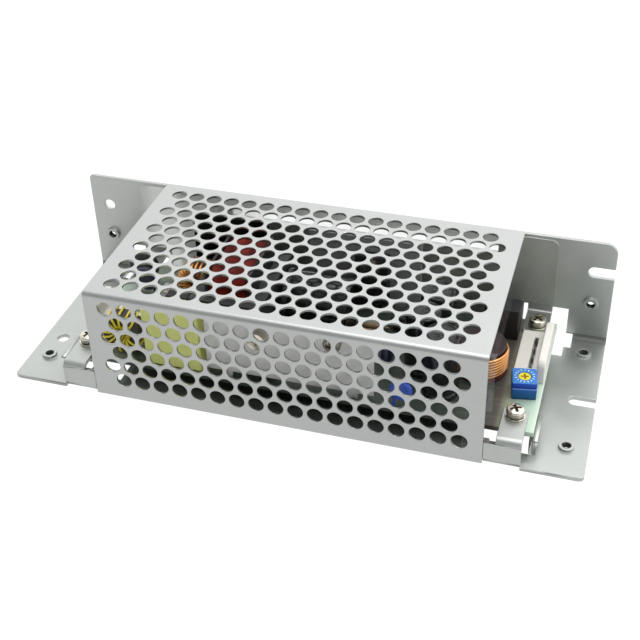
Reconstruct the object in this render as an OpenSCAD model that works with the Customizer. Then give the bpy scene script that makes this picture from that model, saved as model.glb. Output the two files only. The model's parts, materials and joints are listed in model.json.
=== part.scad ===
// Enclosed AC-DC power converter on an L-shaped chassis, in millimetres.
// X runs along the chassis, Y from the perforated front to the back wall, Z up.
// The origin is the middle of the underside.

/* [Enclosure] */
// Length of the chassis over both mounting ears
chassis_len = 163; // [157:1:190]
// Depth from the cover's front face to the rear of the back wall
depth = 60; // [59:0.5:72]
// Height from the underside to the top of the cover
height = 35; // [34.5:0.5:46]
// Thickness of the chassis sheet
chassis_t = 1.2; // [1:0.1:1.4]
// Thickness of the cover sheet
cover_t = 0.8; // [0.6:0.1:1]
// Inside radius of every sheet bend
bend_r = 0.8; // [0.4:0.1:1]
// Length of the perforated cover
cover_len = 110.5; // [106:0.5:113]
// Height of the chassis's front lips beside the board tabs
lip_h = 7.4; // [6.6:0.1:8]
// Thickness of the clear insulation film
film_t = 0.4; // [0.3:0.1:0.5]
// Radius of the chassis corners at the slotted end
corner_r = 3.5; // [1:0.5:4]

/* [Perforation] */
// Diameter of the round perforations
hole_d = 4.5; // [3.5:0.1:4.8]
// Centre distance of the perforations, in a 60 degree stagger
pitch = 5.6; // [5.4:0.1:6.4]
// Distance from the cover's ends to the first hole centre
perf_end = 6.2; // [5:0.1:8]
// Distance from the front face to the first row on top
perf_front = 6; // [5:0.1:7]
// Distance from the top face to the first row on the front wall
perf_top = 4.6; // [4:0.1:6]
// Least distance from the last row on top to the insulation film
perf_edge = 3.6; // [3.4:0.1:4.5]
// Least height of the lowest row on the front wall
perf_low = 5.5; // [4:0.1:6]

/* [Mounting] */
// Distance of the mounting holes from the chassis ends
mount_in = 5.75; // [5:0.05:6]
// Width of the open slots and of the round clearance holes
slot_w = 3.5; // [3.2:0.1:4]
// Drilled diameter of the M3 tapped holes
tap_d = 2.5; // [2.4:0.05:2.7]
// Outside diameter of the collars drawn up round the tapped holes
collar_d = 4.2; // [3.8:0.1:4.6]
// Height of those collars above the sheet
collar_h = 0.9; // [0.5:0.1:1.2]
// Front row of tapped base holes, from the base's middle
tap_front_y = 19.4; // [17:0.1:21]
// Rear row of tapped base holes, from the base's middle
tap_rear_y = 21.3; // [20:0.1:22.5]
// Height of the tapped holes in the back wall
tap_wall_z = 14.3; // [13:0.1:16]
// Height of the slot and clearance hole in the back wall
slot_wall_z = 25; // [22:0.1:28]
// Distance of the left base clearance hole in front of the middle
left_hole_y = 10.9; // [8:0.1:13]
// Left end of the vent slot in the back wall
vent_x0 = -34; // [-50:0.5:-20]
// Length of the vent slot
vent_len = 82; // [60:0.5:86]
// Height of the vent slot's opening
vent_h = 3.2; // [2:0.1:3.4]
// Distance of the vent slot below the top of the cover
vent_drop = 4.5; // [4.3:0.1:6]

/* [Board] */
// Length of the circuit board
board_len = 132; // [128:0.5:134]
// Width of the circuit board
board_w = 48.8; // [48:0.1:50]
// Thickness of the circuit board
board_t = 1.6; // [1.2:0.1:2]
// Distance of the board's rear edge from the back wall
board_gap = 3.5; // [3:0.1:4]
// Height of the tabs that hold the board down, over the underside
shelf_h = 9; // [8.4:0.1:10]
// Width of those tabs
shelf_w = 6.7; // [6.2:0.1:7.4]
// Distance of the board screws from the board's output end
screw_in_x = 5.5; // [5.3:0.1:6]
// Distance of the board screws from the board's input end
screw_in_left = 3; // [2.8:0.1:3.6]
// Distance of the board screws from the board's long edges
screw_in_y = 4.05; // [3.8:0.05:4.4]
// Thread diameter of the board screws
screw_d = 3; // [2.6:0.1:3]
// Diameter of the pan heads
head_d = 5.2; // [5:0.1:5.6]
// Height of the pan heads
head_h = 1.8; // [1.6:0.1:2.4]

/* [Connectors] */
// Contact pitch of both headers
pin_pitch = 3.96; // [3.9:0.01:4.1]
// Number of output contacts
out_pins = 4; // [3:1:4]
// Number of input contacts
in_pins = 3; // [2:1:3]
// Width of a header over block, slot and outer wall
header_w = 8.6; // [8.2:0.1:9]
// Height of the header's block
header_block_h = 2.8; // [2.6:0.1:3.6]
// Height of the header's outer wall
header_wall_h = 7.7; // [7:0.1:8.5]

/* [Trimmer] */
// Side of the square trimmer
trim_side = 6.6; // [6:0.1:7]
// Height of the trimmer
trim_h = 5.6; // [5:0.1:6.5]
// Angle at which the trimmer sits on the board
trim_turn = 10; // [0:1:15]
// Diameter of the trimmer's rotor
rotor_d = 3.3; // [2.8:0.1:4]
// Radial clearance of the rotor in its seat
rotor_gap = 0.05; // [0.03:0.01:0.1]

/* [Input parts] */
// Diameter of the glass fuse
fuse_d = 5.2; // [5:0.1:5.6]
// Length of the glass fuse
fuse_len = 17; // [16:0.5:18]
// Outside diameter of the line choke's core
line_od = 11.4; // [10:0.1:11.8]
// Diameter of the thermistor disc
therm_d = 10; // [8:0.1:11]
// Diameter of the varistor disc
varistor_d = 8; // [7:0.1:9]
// Length of the line filter capacitor
xcap_len = 17; // [15:0.5:17.5]
// Depth of the line filter capacitor
xcap_w = 7.5; // [6.5:0.1:8]
// Height of the line filter capacitor
xcap_h = 18.6; // [15:0.1:20]
// Outside diameter of the filter choke's core
filter_od = 11.4; // [10.5:0.1:11.6]
// Length of the dark input heatsink plate
sink1_len = 24; // [20:0.5:24.5]
// Diameter of the bulk capacitor
bulk_d = 18; // [16:0.5:18]
// Length of the bulk capacitor
bulk_len = 20; // [17:0.5:20]

/* [Conversion parts] */
// Length of the pale primary heatsink plate
sink_len = 48; // [44:0.5:49]
// Thickness of the heatsink plates
sink_t = 1.5; // [1.2:0.1:2]
// Room between the heatsinks and the cover
sink_room = 3.2; // [2:0.1:5]
// Length of the transformer core along the chassis
core_len = 21.5; // [20:0.5:21.5]
// Depth of the transformer core
core_side = 29.5; // [27:0.5:29.5]
// Thickness of the transformer core
core_t = 9; // [8:0.1:10]
// Room between the transformer's coil and the cover
coil_room = 1.6; // [1:0.1:4]
// Length of the dark secondary heatsink plate
sink2_len = 34; // [30:0.5:35]

/* [Output parts] */
// Outside diameter of the output choke's core
out_od = 15; // [14:0.1:15.6]
// Diameter of the output capacitors
out_cap_d = 10; // [8:0.1:10]
// Height of the output capacitors
out_cap_h = 20; // [15:0.5:22]
// Length of the black film capacitor
film_len = 10; // [8:0.1:10.5]
// Diameter of the auxiliary capacitor
aux_d = 6.3; // [5:0.1:6.5]
// Height of the auxiliary capacitor
aux_h = 11; // [9:0.5:13]
// Diameter of the safety capacitor discs
ycap_d = 7; // [6:0.1:8]
// Diameter of the small disc capacitor
disc_d = 6.4; // [5:0.1:7]
// Length of the axial resistors
resistor_len = 6; // [5:0.1:6.5]

/* [Hidden] */
$fn = 48;

// A hair more than the sheet, so that cuts break through
through = 1;
// Frame of the enclosure
half_len = chassis_len / 2;
front_y = -depth / 2;
back_y = depth / 2;
lip_y = front_y + cover_t;
wall_in = back_y - chassis_t;
film_in = wall_in - film_t;
wall_top = height - cover_t;
back_top = height;
bend_out = bend_r + chassis_t;
cover_half = cover_len / 2;
cover_bend = bend_r + cover_t;
// Frame of the board
board_back = wall_in - board_gap;
board_front = board_back - board_w;
board_mid = (board_front + board_back) / 2;
board_top = shelf_h - chassis_t;
board_z = board_top - board_t;
screw_x = (board_len - screw_in_x - screw_in_left) / 2;
board_right = screw_x + screw_in_x;
board_left = -screw_x - screw_in_left;
headroom = wall_top - board_top;
screw_front = board_front + screw_in_y;
screw_back = board_back - screw_in_y;
shelf_x0 = screw_x - shelf_w / 2;
shelf_x1 = screw_x + shelf_w / 2;
// Reach of a tab past its screw, and the rear tab's extra width
shelf_past = 2.8;
rear_x0 = shelf_x0 - 0.5;
// The lips start behind the cover, step out flush with it past its ends and end with the tabs
cover_fit = 0.15;
lip_x0 = cover_half - perf_end + pitch / 2 - 0.2;
nose_x0 = cover_half + cover_fit;
nose_y = nose_x0 < shelf_x0 ? front_y : lip_y;
// Legs lanced from the base that carry the board's ends
leg_gap = 1.3;
leg_x0 = shelf_x1 + leg_gap;
leg_y0 = lip_y + chassis_t + 3.4;
leg_y1 = screw_front + 5;
leg_hole_len = 16;
leg_top_w = 2.2;
leg_top_t = 0.6;
// Openings left in the back wall and base by the rear tabs
slit_w = 1.2;
rear_cut_w = 4.6;
rear_cut_up = 2;
rear_cut_len = 9.8;
rear_cut_y = wall_in - rear_cut_len;
relief_w = 2;
relief_up = 2.2;
relief_len = 5.4;
relief_y = wall_in - relief_len;
// Perforation rows
row_pitch = pitch * sqrt(3) / 2;
perf_cols = floor((cover_len - 2 * perf_end - pitch / 2) / pitch + 0.001) + 1;
perf_x0 = -((perf_cols - 1) * pitch + pitch / 2) / 2;
top_rows = floor((film_in - front_y - perf_front - perf_edge) / row_pitch) + 1;
front_rows = floor((height - perf_top - perf_low) / row_pitch) + 1;
// Washers under the board screws
flat_d = head_d + 0.5;
flat_t = 0.5;
spring_d = head_d + 0.1;
spring_t = 0.7;
screw_gap = 0.05;
screw_past = 0.6;
// Chokes: wire gauge, room between wire and core, and bore of the core
wire_d = 0.9;
wire_gap = 0.05;
bore_share = 0.56;
// Pitch of the turns in the bore, in wire diameters
turn_pitch = 1.12;
line_w = 5;
filter_w = 6;
// Power packages on the heatsinks
pack_w = 10;
pack_t = 4.5;
pack_h = 15.5;
pack_hole_drop = 3.4;
pack_hole_d = 3.2;
pack_foot = 3.2;
sink_screw_d = 3;
nut_d = 6;
nut_t = 2.4;
lead_w = 0.8;
lead_t = 0.5;
lead_pitch = 2.54;
// Heatsink feet
foot_w = 3;
foot_h = 2;
sink_y0 = board_front + 1;
sink2_y1 = board_back - 2.4;
sink_h = headroom - sink_room;
// Headers
header_end = 2;
header_floor = 0.8;
header_wall_t = 2.1;
header_slot_w = 1.1;
header_slot_x = 4.3;
header_round = 2.4;
blade_t = 0.6;
blade_w = 1.6;
blade_h = 2.6;
// Trimmer
trim_cap_h = 1.5;
trim_groove = 0.3;
trim_skirt = 0.2;
rotor_h = 1.3;
rotor_slot_w = 0.6;
rotor_slot_depth = 0.6;
edge_gap = 0.2;
// Transformer window and coil
core_yoke = 4;
core_leg = 3.1;
centre_leg = 7.5;
coil_gap = 0.3;
bobbin_t = 0.8;
bobbin_foot = 1.6;

// Places on the board, as shares of its reach to the output end and of its half width
function board_x(share) = share * board_right;
function board_y(share) = board_mid + share * board_w / 2;

// Repeats a shape at both ends of the chassis
module both_ends() {
  children();
  mirror([1, 0, 0]) children();
}

// Puts a shape at the four board screws
module at_screws(z) {
  for (side = [-1, 1], y = [screw_front, screw_back])
    translate([side * screw_x, y, z]) children();
}

// Square outline from one corner to the other
module span(a, b) {
  translate(a) square([b[0] - a[0], b[1] - a[1]]);
}

// Centred rectangle with round corners
module rounded(w, d, r) {
  square([w - 2 * r, d], center = true);
  square([w, d - 2 * r], center = true);
  for (sx = [-1, 1], sy = [-1, 1])
    translate([sx * (w / 2 - r), sy * (d / 2 - r)]) circle(r);
}

// Upright plate whose outline is drawn in X and Z, with its rear face at y
module upright(y, t) {
  translate([0, y, 0]) rotate([90, 0, 0]) linear_extrude(t) children();
}

// Section drawn in Y and Z, run along X from x0 to x1
module run_x(x0, x1) {
  translate([x0, 0, 0]) rotate([90, 0, 90]) linear_extrude(x1 - x0) children();
}

// Quarter of a bend about a corner: sx and sy choose the quadrant
module bend_section(cx, cy, r, t, sx, sy) {
  translate([cx, cy]) intersection() {
    difference() {
      circle(r + t);
      circle(r);
    }
    span([min(0, sx * (r + t)), min(0, sy * (r + t))], [max(0, sx * (r + t)), max(0, sy * (r + t))]);
  }
}

// Staggered rows of round holes
module perforation(rows, first, step) {
  for (row = [0 : rows - 1], col = [0 : perf_cols - 1])
    translate([perf_x0 + (col + (row % 2) / 2) * pitch, first + row * step]) circle(d = hole_d);
}

// Outline cut away at a corner so that it is left round
module corner_cut(x, y, r, sx, sy) {
  translate([x, y]) difference() {
    span([min(0, sx * r), min(0, sy * r)], [max(0, sx * r), max(0, sy * r)]);
    translate([sx * r, sy * r]) circle(r);
  }
}

// Base plate before the rear openings are cut
module base_outline() {
  difference() {
    union() {
      span([-half_len, lip_y], [half_len, wall_in - bend_r]);
      span([-half_len, nose_y], [-nose_x0, lip_y + through]);
      span([nose_x0, nose_y], [half_len, lip_y + through]);
    }
    for (side = [-1, 1]) {
      lip_a = min(side * lip_x0, side * nose_x0);
      lip_b = max(side * lip_x0, side * nose_x0);
      span([lip_a, lip_y - through], [lip_b, lip_y + bend_out]);
      nose_a = min(side * nose_x0, side * shelf_x1);
      nose_b = max(side * nose_x0, side * shelf_x1);
      span([nose_a, nose_y - through], [nose_b, nose_y + bend_out]);
      hole_a = min(side * (leg_x0 - leg_hole_len), side * (leg_x0 + bend_out));
      hole_b = max(side * (leg_x0 - leg_hole_len), side * (leg_x0 + bend_out));
      span([hole_a, leg_y0], [hole_b, leg_y1]);
      for (y = [-tap_front_y, tap_rear_y])
        translate([side * (half_len - mount_in), y]) circle(d = tap_d);
    }
    translate([-half_len + mount_in, -left_hole_y]) circle(d = slot_w);
    translate([half_len - mount_in, 0]) circle(d = slot_w);
    span([half_len - mount_in, -slot_w / 2], [half_len + through, slot_w / 2]);
    corner_cut(half_len, nose_y, corner_r / 3, -1, 1);
    corner_cut(-half_len, nose_y, corner_r / 3, 1, 1);
  }
}

// Back wall above its bend
module wall_outline() {
  cut_top = shelf_h + rear_cut_up;
  difference() {
    span([-half_len, bend_out], [half_len, back_top]);
    span([-nose_x0, wall_top], [nose_x0, back_top + through]);
    for (side = [-1, 1]) {
      translate([side * (half_len - mount_in), tap_wall_z]) circle(d = tap_d);
      span([min(side * (rear_x0 - slit_w), side * rear_x0), 0],
        [max(side * (rear_x0 - slit_w), side * rear_x0), cut_top]);
      span([min(side * shelf_x1, side * (shelf_x1 + rear_cut_w)), 0],
        [max(side * shelf_x1, side * (shelf_x1 + rear_cut_w)), cut_top]);
      span([min(side * rear_x0, side * shelf_x1), 0],
        [max(side * rear_x0, side * shelf_x1), shelf_h + bend_r]);
      span([min(side * shelf_x1, side * (shelf_x1 + rear_cut_w + relief_w)), 0],
        [max(side * shelf_x1, side * (shelf_x1 + rear_cut_w + relief_w)), relief_up]);
    }
    translate([-half_len + mount_in, slot_wall_z]) circle(d = slot_w);
    translate([half_len - mount_in, slot_wall_z]) circle(d = slot_w);
    span([half_len - mount_in, slot_wall_z - slot_w / 2],
      [half_len + through, slot_wall_z + slot_w / 2]);
    span([vent_x0, height - vent_drop - vent_h], [vent_x0 + vent_len, height - vent_drop]);
    corner_cut(half_len, back_top, corner_r, -1, -1);
    corner_cut(-half_len, back_top, corner_r / 3, 1, -1);
  }
}

// Collar drawn up round a tapped hole
module collar() {
  difference() {
    cylinder(d = collar_d, h = collar_h);
    translate([0, 0, -through]) cylinder(d = tap_d, h = collar_h + 2 * through);
  }
}

// Lip, front tab and leg at the right-hand end
module front_corner() {
  shelf_end = screw_front + shelf_past;
  step_x1 = nose_x0 + chassis_t;
  upright(lip_y + chassis_t, chassis_t) span([lip_x0, bend_out], [step_x1, lip_h]);
  run_x(lip_x0, step_x1)
    bend_section(lip_y + bend_out, bend_out, bend_r, chassis_t, -1, -1);
  upright(nose_y + chassis_t, chassis_t) {
    if (nose_x0 < shelf_x0) span([nose_x0, bend_out], [shelf_x0, lip_h]);
    span([shelf_x0, bend_out], [shelf_x1, shelf_h - bend_out]);
  }
  run_x(nose_x0, shelf_x1)
    bend_section(nose_y + bend_out, bend_out, bend_r, chassis_t, -1, -1);
  run_x(shelf_x0, shelf_x1)
    bend_section(nose_y + bend_out, shelf_h - bend_out, bend_r, chassis_t, -1, 1);
  translate([0, 0, shelf_h - chassis_t]) linear_extrude(chassis_t) difference() {
    span([shelf_x0, nose_y + bend_out], [shelf_x1, shelf_end]);
    translate([screw_x, screw_front]) circle(d = screw_d + 4 * screw_gap);
  }
  translate([0, leg_y1, 0]) rotate([90, 0, 0]) linear_extrude(leg_y1 - leg_y0) {
    span([leg_x0, bend_out], [leg_x0 + chassis_t, board_z]);
    span([leg_x0, board_z - leg_top_t], [leg_x0 + leg_top_w, board_z]);
    bend_section(leg_x0 + bend_out, bend_out, bend_r, chassis_t, -1, -1);
  }
}

// Tab turned in from the back wall at the right-hand end
module rear_corner() {
  shelf_end = screw_back - shelf_past;
  run_x(rear_x0, shelf_x1)
    bend_section(wall_in - bend_r, shelf_h + bend_r, bend_r, chassis_t, 1, -1);
  translate([0, 0, shelf_h - chassis_t]) linear_extrude(chassis_t) difference() {
    span([rear_x0, shelf_end], [shelf_x1, wall_in - bend_r]);
    translate([screw_x, screw_back]) circle(d = screw_d + 4 * screw_gap);
  }
}

// Material that left the base and its bend for a rear tab
module rear_opening() {
  cut_low = -through;
  translate([rear_x0 - slit_w, rear_cut_y, cut_low])
    cube([slit_w + shelf_x1 - rear_x0 + rear_cut_w, depth, bend_out + through]);
  translate([shelf_x1, relief_y, cut_low])
    cube([rear_cut_w + relief_w, depth, bend_out + through]);
}

module chassis() {
  color("silver") {
    difference() {
      union() {
        linear_extrude(chassis_t) base_outline();
        run_x(-half_len, half_len)
          bend_section(wall_in - bend_r, bend_out, bend_r, chassis_t, 1, -1);
        upright(back_y, chassis_t) wall_outline();
      }
      both_ends() rear_opening();
    }
    both_ends() {
      front_corner();
      rear_corner();
      for (y = [-tap_front_y, tap_rear_y])
        translate([half_len - mount_in, y, chassis_t]) collar();
      translate([half_len - mount_in, wall_in, tap_wall_z]) rotate([90, 0, 0]) collar();
    }
  }
}

module top_cover() {
  color("gainsboro") {
    translate([0, 0, wall_top]) linear_extrude(cover_t) difference() {
      span([-cover_half, front_y + cover_bend], [cover_half, back_y]);
      perforation(top_rows, front_y + perf_front, row_pitch);
    }
    upright(lip_y, cover_t) difference() {
      span([-cover_half, 0], [cover_half, height - cover_bend]);
      perforation(front_rows, height - perf_top, -row_pitch);
    }
    run_x(-cover_half, cover_half)
      bend_section(front_y + cover_bend, height - cover_bend, bend_r, cover_t, -1, 1);
  }
}

module insulation_sheet() {
  film_bend = 0.6;
  film_half = leg_x0 - leg_hole_len - 1.5;
  film_top = wall_top - 0.1;
  film_r = 2.2;
  floor_z = chassis_t;
  start = wall_in - film_bend - film_t;
  side_low = shelf_h + rear_cut_up + bend_r;
  side_half = shelf_x1;
  step_half = rear_x0 - slit_w - 1;
  color("honeydew", 0.5) {
    run_x(-film_half, film_half) {
      span([lip_y + bend_out + 1, floor_z], [start, floor_z + film_t]);
      bend_section(start, floor_z + film_t + film_bend, film_bend, film_t, 1, -1);
    }
    upright(wall_in, film_t) difference() {
      union() {
        span([-film_half, floor_z + film_t + film_bend], [film_half, film_top]);
        span([-step_half, bend_out + film_bend + film_t], [step_half, film_top]);
        span([-side_half, side_low], [side_half, film_top]);
      }
      corner_cut(side_half, film_top, film_r, -1, -1);
      corner_cut(-side_half, film_top, film_r, 1, -1);
    }
  }
}

module circuit_board() {
  color("darkseagreen") translate([0, 0, board_z]) linear_extrude(board_t) difference() {
    span([board_left, board_front], [board_right, board_back]);
    for (side = [-1, 1], y = [screw_front, screw_back])
      translate([side * screw_x, y]) circle(d = screw_d + 4 * screw_gap);
  }
}

module board_screws() {
  seat = shelf_h + flat_t + spring_t;
  tip = board_z - nut_t - screw_past;
  dome = 0.5;
  color("lightgray") at_screws(0) difference() {
    union() {
      translate([0, 0, tip]) cylinder(d = screw_d - 2 * screw_gap, h = seat - tip);
      translate([0, 0, seat]) cylinder(d = head_d, h = head_h - dome);
      translate([0, 0, seat + head_h - dome])
        cylinder(d1 = head_d, d2 = head_d - 4 * dome, h = dome);
    }
    for (turn = [0, 90]) rotate([0, 0, turn])
      translate([-head_d / 4, -0.4, seat + head_h - 1.2]) cube([head_d / 2, 0.8, 2]);
  }
}

// Flat ring that lies on its seat
module washer(d, t) {
  difference() {
    cylinder(d = d, h = t);
    translate([0, 0, -through]) cylinder(d = screw_d + 4 * screw_gap, h = t + 2 * through);
  }
}

module spring_washers() {
  color("darkgray") at_screws(shelf_h + flat_t) difference() {
    washer(spring_d, spring_t);
    rotate([0, 0, 30]) translate([0, -0.2, -through]) cube([spring_d, 0.4, spring_t + 2 * through]);
  }
}

module flat_washers() {
  color("silver") at_screws(shelf_h) washer(flat_d, flat_t);
}

module board_nuts() {
  color("silver") at_screws(board_z - nut_t) difference() {
    cylinder(d = nut_d, h = nut_t, $fn = 6);
    translate([0, 0, -through]) cylinder(d = screw_d, h = nut_t + 2 * through, $fn = 48);
  }
}

// Clear film that lines the cover's output end and stands out beyond it
module cover_film() {
  strip_t = 0.3;
  strip_in = 4;
  strip_out = 1.6;
  strip_low = height * 0.5;
  strip_back = board_back - 4;
  in_r = bend_r - strip_t;
  color("lavender", 0.5) run_x(cover_half - strip_in, cover_half + strip_out) {
    span([lip_y, strip_low], [lip_y + strip_t, wall_top - bend_r]);
    bend_section(lip_y + bend_r, wall_top - bend_r, in_r, strip_t, -1, 1);
    span([lip_y + bend_r, wall_top - strip_t], [strip_back, wall_top]);
  }
}

// Length of a header with its end walls
function header_len(pins) = pins * pin_pitch + 2 * header_end;

// Header housing along Y, its outer wall on the +X side at x = 0
module header_housing(pins) {
  len = header_len(pins);
  slot_len = len - 2 * header_end - pin_pitch + blade_w + 0.6;
  difference() {
    translate([-header_w, -len / 2, 0]) cube([header_w, len, header_block_h]);
    translate([-header_slot_x - header_slot_w / 2, -slot_len / 2, header_floor])
      cube([header_slot_w, slot_len, header_block_h]);
  }
  translate([-header_wall_t, 0, 0]) rotate([90, 0, 90]) linear_extrude(header_wall_t) difference() {
    span([-len / 2, 0], [len / 2, header_wall_h]);
    corner_cut(len / 2, header_wall_h, header_round, -1, -1);
    corner_cut(-len / 2, header_wall_h, header_round, 1, -1);
  }
}

// Tin blades that stand in the header's slot
module header_blades(pins) {
  for (i = [0 : pins - 1])
    translate([-header_slot_x - blade_t / 2, (i - (pins - 1) / 2) * pin_pitch - blade_w / 2, header_floor])
      cube([blade_t, blade_w, blade_h - header_floor]);
}

// The trimmer stands beside the front screw, and the header behind it
trim_reach = trim_side * (cos(trim_turn) + sin(trim_turn)) / 2;
trim_y = screw_front + flat_d / 2 + 5 + trim_reach;
out_y = trim_y + trim_reach + 0.6 + header_len(out_pins) / 2;
in_y = screw_front + flat_d / 2 + 1.6 + header_len(in_pins) / 2;
header_x = board_right - edge_gap;
trim_x = header_x - 1 - trim_reach;

module output_connector() {
  color("white") translate([header_x, out_y, board_top]) header_housing(out_pins);
}

module output_pins() {
  color("lightgray") translate([header_x, out_y, board_top]) header_blades(out_pins);
}

module input_connector() {
  color("white") mirror([1, 0, 0]) translate([-board_left - edge_gap, in_y, board_top])
    header_housing(in_pins);
}

module input_pins() {
  color("lightgray") mirror([1, 0, 0]) translate([-board_left - edge_gap, in_y, board_top])
    header_blades(in_pins);
}

module trimmer_body() {
  seat_z = board_top + trim_h - rotor_h;
  color("royalblue") difference() {
    translate([trim_x, trim_y, 0]) rotate([0, 0, trim_turn]) {
      translate([0, 0, board_top]) linear_extrude(trim_h - trim_cap_h - trim_groove)
        rounded(trim_side, trim_side, 0.3);
      translate([0, 0, board_top]) linear_extrude(trim_h)
        rounded(trim_side - 2 * trim_skirt, trim_side - 2 * trim_skirt, 0.3);
      translate([0, 0, board_top + trim_h - trim_cap_h]) linear_extrude(trim_cap_h)
        rounded(trim_side, trim_side, 0.3);
    }
    translate([trim_x, trim_y, seat_z]) cylinder(d = rotor_d + 2 * rotor_gap, h = trim_h);
  }
}

module trimmer_rotor() {
  top = board_top + trim_h - 0.1;
  color("gold") translate([trim_x, trim_y, 0]) difference() {
    translate([0, 0, board_top + trim_h - rotor_h])
      cylinder(d = rotor_d, h = rotor_h - 0.1);
    for (turn = [0, 90]) rotate([0, 0, turn])
      translate([-rotor_d * 0.38, -rotor_slot_w / 2, top - rotor_slot_depth])
        cube([rotor_d * 0.76, rotor_slot_w, through]);
  }
}

// Fuse along Y at the input end
fuse_x = board_x(-0.706);
fuse_y = board_y(-0.12);
fuse_cap_len = 4.5;
fuse_cap_t = 0.3;
clip_t = 0.4;
fuse_z = board_top + 1.2 + fuse_d / 2 + fuse_cap_t;

module fuse_tube() {
  color("aliceblue", 0.6) translate([fuse_x, fuse_y, fuse_z]) rotate([90, 0, 0])
    cylinder(d = fuse_d, h = fuse_len - 2 * fuse_cap_t, center = true);
}

module fuse_caps() {
  outer = fuse_d + 2 * fuse_cap_t;
  color("lightgray") for (side = [-1, 1])
    translate([fuse_x, fuse_y + side * (fuse_len / 2 - fuse_cap_len / 2), fuse_z])
      rotate([90, 0, 0]) difference() {
        cylinder(d = outer, h = fuse_cap_len, center = true);
        translate([0, 0, side * fuse_cap_t])
          cylinder(d = fuse_d, h = fuse_cap_len, center = true);
      }
}

module fuse_clips() {
  inner = fuse_d + 2 * fuse_cap_t;
  clip_w = 3;
  clip_up = 1.2;
  color("silver") for (side = [-1, 1])
    translate([fuse_x, fuse_y + side * (fuse_len / 2 - fuse_cap_len / 2) + clip_w / 2, 0])
      rotate([90, 0, 0]) linear_extrude(clip_w) difference() {
        union() {
          translate([0, fuse_z]) circle(d = inner + 2 * clip_t);
          span([-inner / 4, board_top], [inner / 4, fuse_z]);
        }
        translate([0, fuse_z]) circle(d = inner);
        span([-inner, fuse_z + clip_up], [inner, fuse_z + inner]);
      }
}

// Disc with a round rim that stands on two leads, its faces along the Y axis
module disc_part(d, t, lift) {
  lead_span = d * 0.6;
  translate([0, 0, lift + d / 2]) rotate([90, 0, 0]) rotate_extrude() {
    span([0, -t / 2], [d / 2 - t / 2, t / 2]);
    intersection() {
      translate([d / 2 - t / 2, 0]) circle(t / 2);
      span([0, -t], [d, t]);
    }
  }
  for (side = [-1, 1])
    translate([side * lead_span / 2, 0, 0]) cylinder(d = lead_w, h = lift + d / 2);
}

module thermistor() {
  color("dimgray") translate([board_x(-0.885), board_y(0.61), board_top])
    disc_part(therm_d, therm_d * 0.34, 0.5);
}

module varistor() {
  color("steelblue") translate([board_x(-0.83), board_y(0.33), board_top])
    disc_part(varistor_d, varistor_d * 0.38, 1.5);
}

// Toroid core about Z
module ring_core(od, w) {
  rotate_extrude() span([od * bore_share / 2, -w / 2], [od / 2, w / 2]);
}

// Reach of a winding from its axis
function ring_reach(od) = od / 2 + wire_gap + wire_d;

// Turns that fit side by side in the bore
function ring_turns(od) = floor(PI * (od * bore_share - 2 * wire_gap - 2 * wire_d) / (turn_pitch * wire_d));

// Separate turns of wire round a toroid core about Z; the first turn lies along +X
module ring_winding(od, w) {
  turns = ring_turns(od);
  limb = od * (1 - bore_share) / 2;
  inner_w = limb + 2 * wire_gap;
  inner_h = w + 2 * wire_gap;
  for (i = [0 : turns - 1])
    rotate([0, 0, i * 360 / turns]) translate([od * (1 + bore_share) / 4, 0, 0])
      rotate([90, 0, 0]) linear_extrude(wire_d, center = true) difference() {
        rounded(inner_w + 2 * wire_d, inner_h + 2 * wire_d, wire_d);
        square([inner_w, inner_h], center = true);
      }
}

// Stands a toroid on the board with its axis along Y
module stand_y(x, y, od) {
  translate([x, y, board_top + ring_reach(od)]) rotate([90, 0, 0]) rotate([0, 0, -90]) children();
}

line_x = board_x(-0.752);
line_y = board_front + 2.2 + line_w / 2 + wire_d;

module line_choke_core() {
  color("darkslategray") stand_y(line_x, line_y, line_od) ring_core(line_od, line_w);
}

module line_choke_winding() {
  color("gold") stand_y(line_x, line_y, line_od) ring_winding(line_od, line_w);
}

module x_capacitor() {
  color("khaki") translate([board_x(-0.507), board_front + 1 + xcap_w / 2, board_top])
    linear_extrude(xcap_h) rounded(xcap_len, xcap_w, 0.8);
}

module y_capacitors() {
  color("cornflowerblue") for (share = [0.26, 0.36])
    translate([board_x(share), board_y(-0.36), board_top]) rotate([0, 0, 90]) disc_part(ycap_d, ycap_d * 0.37, 2);
}

filter_x = board_x(-0.578);
filter_y = board_y(0.425);

module filter_choke_core() {
  color("saddlebrown") stand_y(filter_x, filter_y, filter_od) ring_core(filter_od, filter_w);
}

module filter_choke_winding() {
  color("peru") stand_y(filter_x, filter_y, filter_od) ring_winding(filter_od, filter_w);
}

module bridge_rectifier() {
  w = 6.6;
  t = 5;
  h = headroom * 0.53;
  lift = 2;
  color("dimgray") translate([board_x(-0.543), board_y(-0.40), board_top]) {
    translate([0, 0, lift]) linear_extrude(h) rounded(w, t, 0.4);
    for (i = [-1.5 : 1.5])
      translate([i * w / 4 - lead_w / 2, -lead_t / 2, 0]) cube([lead_w, lead_t, lift]);
  }
}

module bulk_capacitor() {
  crimp = 0.5;
  rim = 1;
  color("dimgray") translate([board_x(0.013), board_y(0.22), board_top + bulk_d / 2])
    rotate([0, 90, 0]) difference() {
      cylinder(d = bulk_d, h = bulk_len, center = true);
      translate([0, 0, bulk_len / 2 - 3]) rotate_extrude() translate([bulk_d / 2, 0]) circle(crimp);
      translate([0, 0, bulk_len / 2 - 0.5]) cylinder(d = bulk_d - 4 * rim, h = rim);
    }
}

// Heatsink plate on two feet, with a hole for each package
module sink_plate(len, y, holes) {
  upright(y, sink_t) translate([0, board_top]) difference() {
    union() {
      span([-len / 2, foot_h], [len / 2, sink_h]);
      for (side = [-1, 1])
        translate([side * (len / 2 - 2 * foot_w), 0]) span([-foot_w / 2, 0], [foot_w / 2, foot_h]);
    }
    for (x = holes) translate([x, pack_foot + pack_h - pack_hole_drop]) circle(d = pack_hole_d);
  }
}

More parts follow.
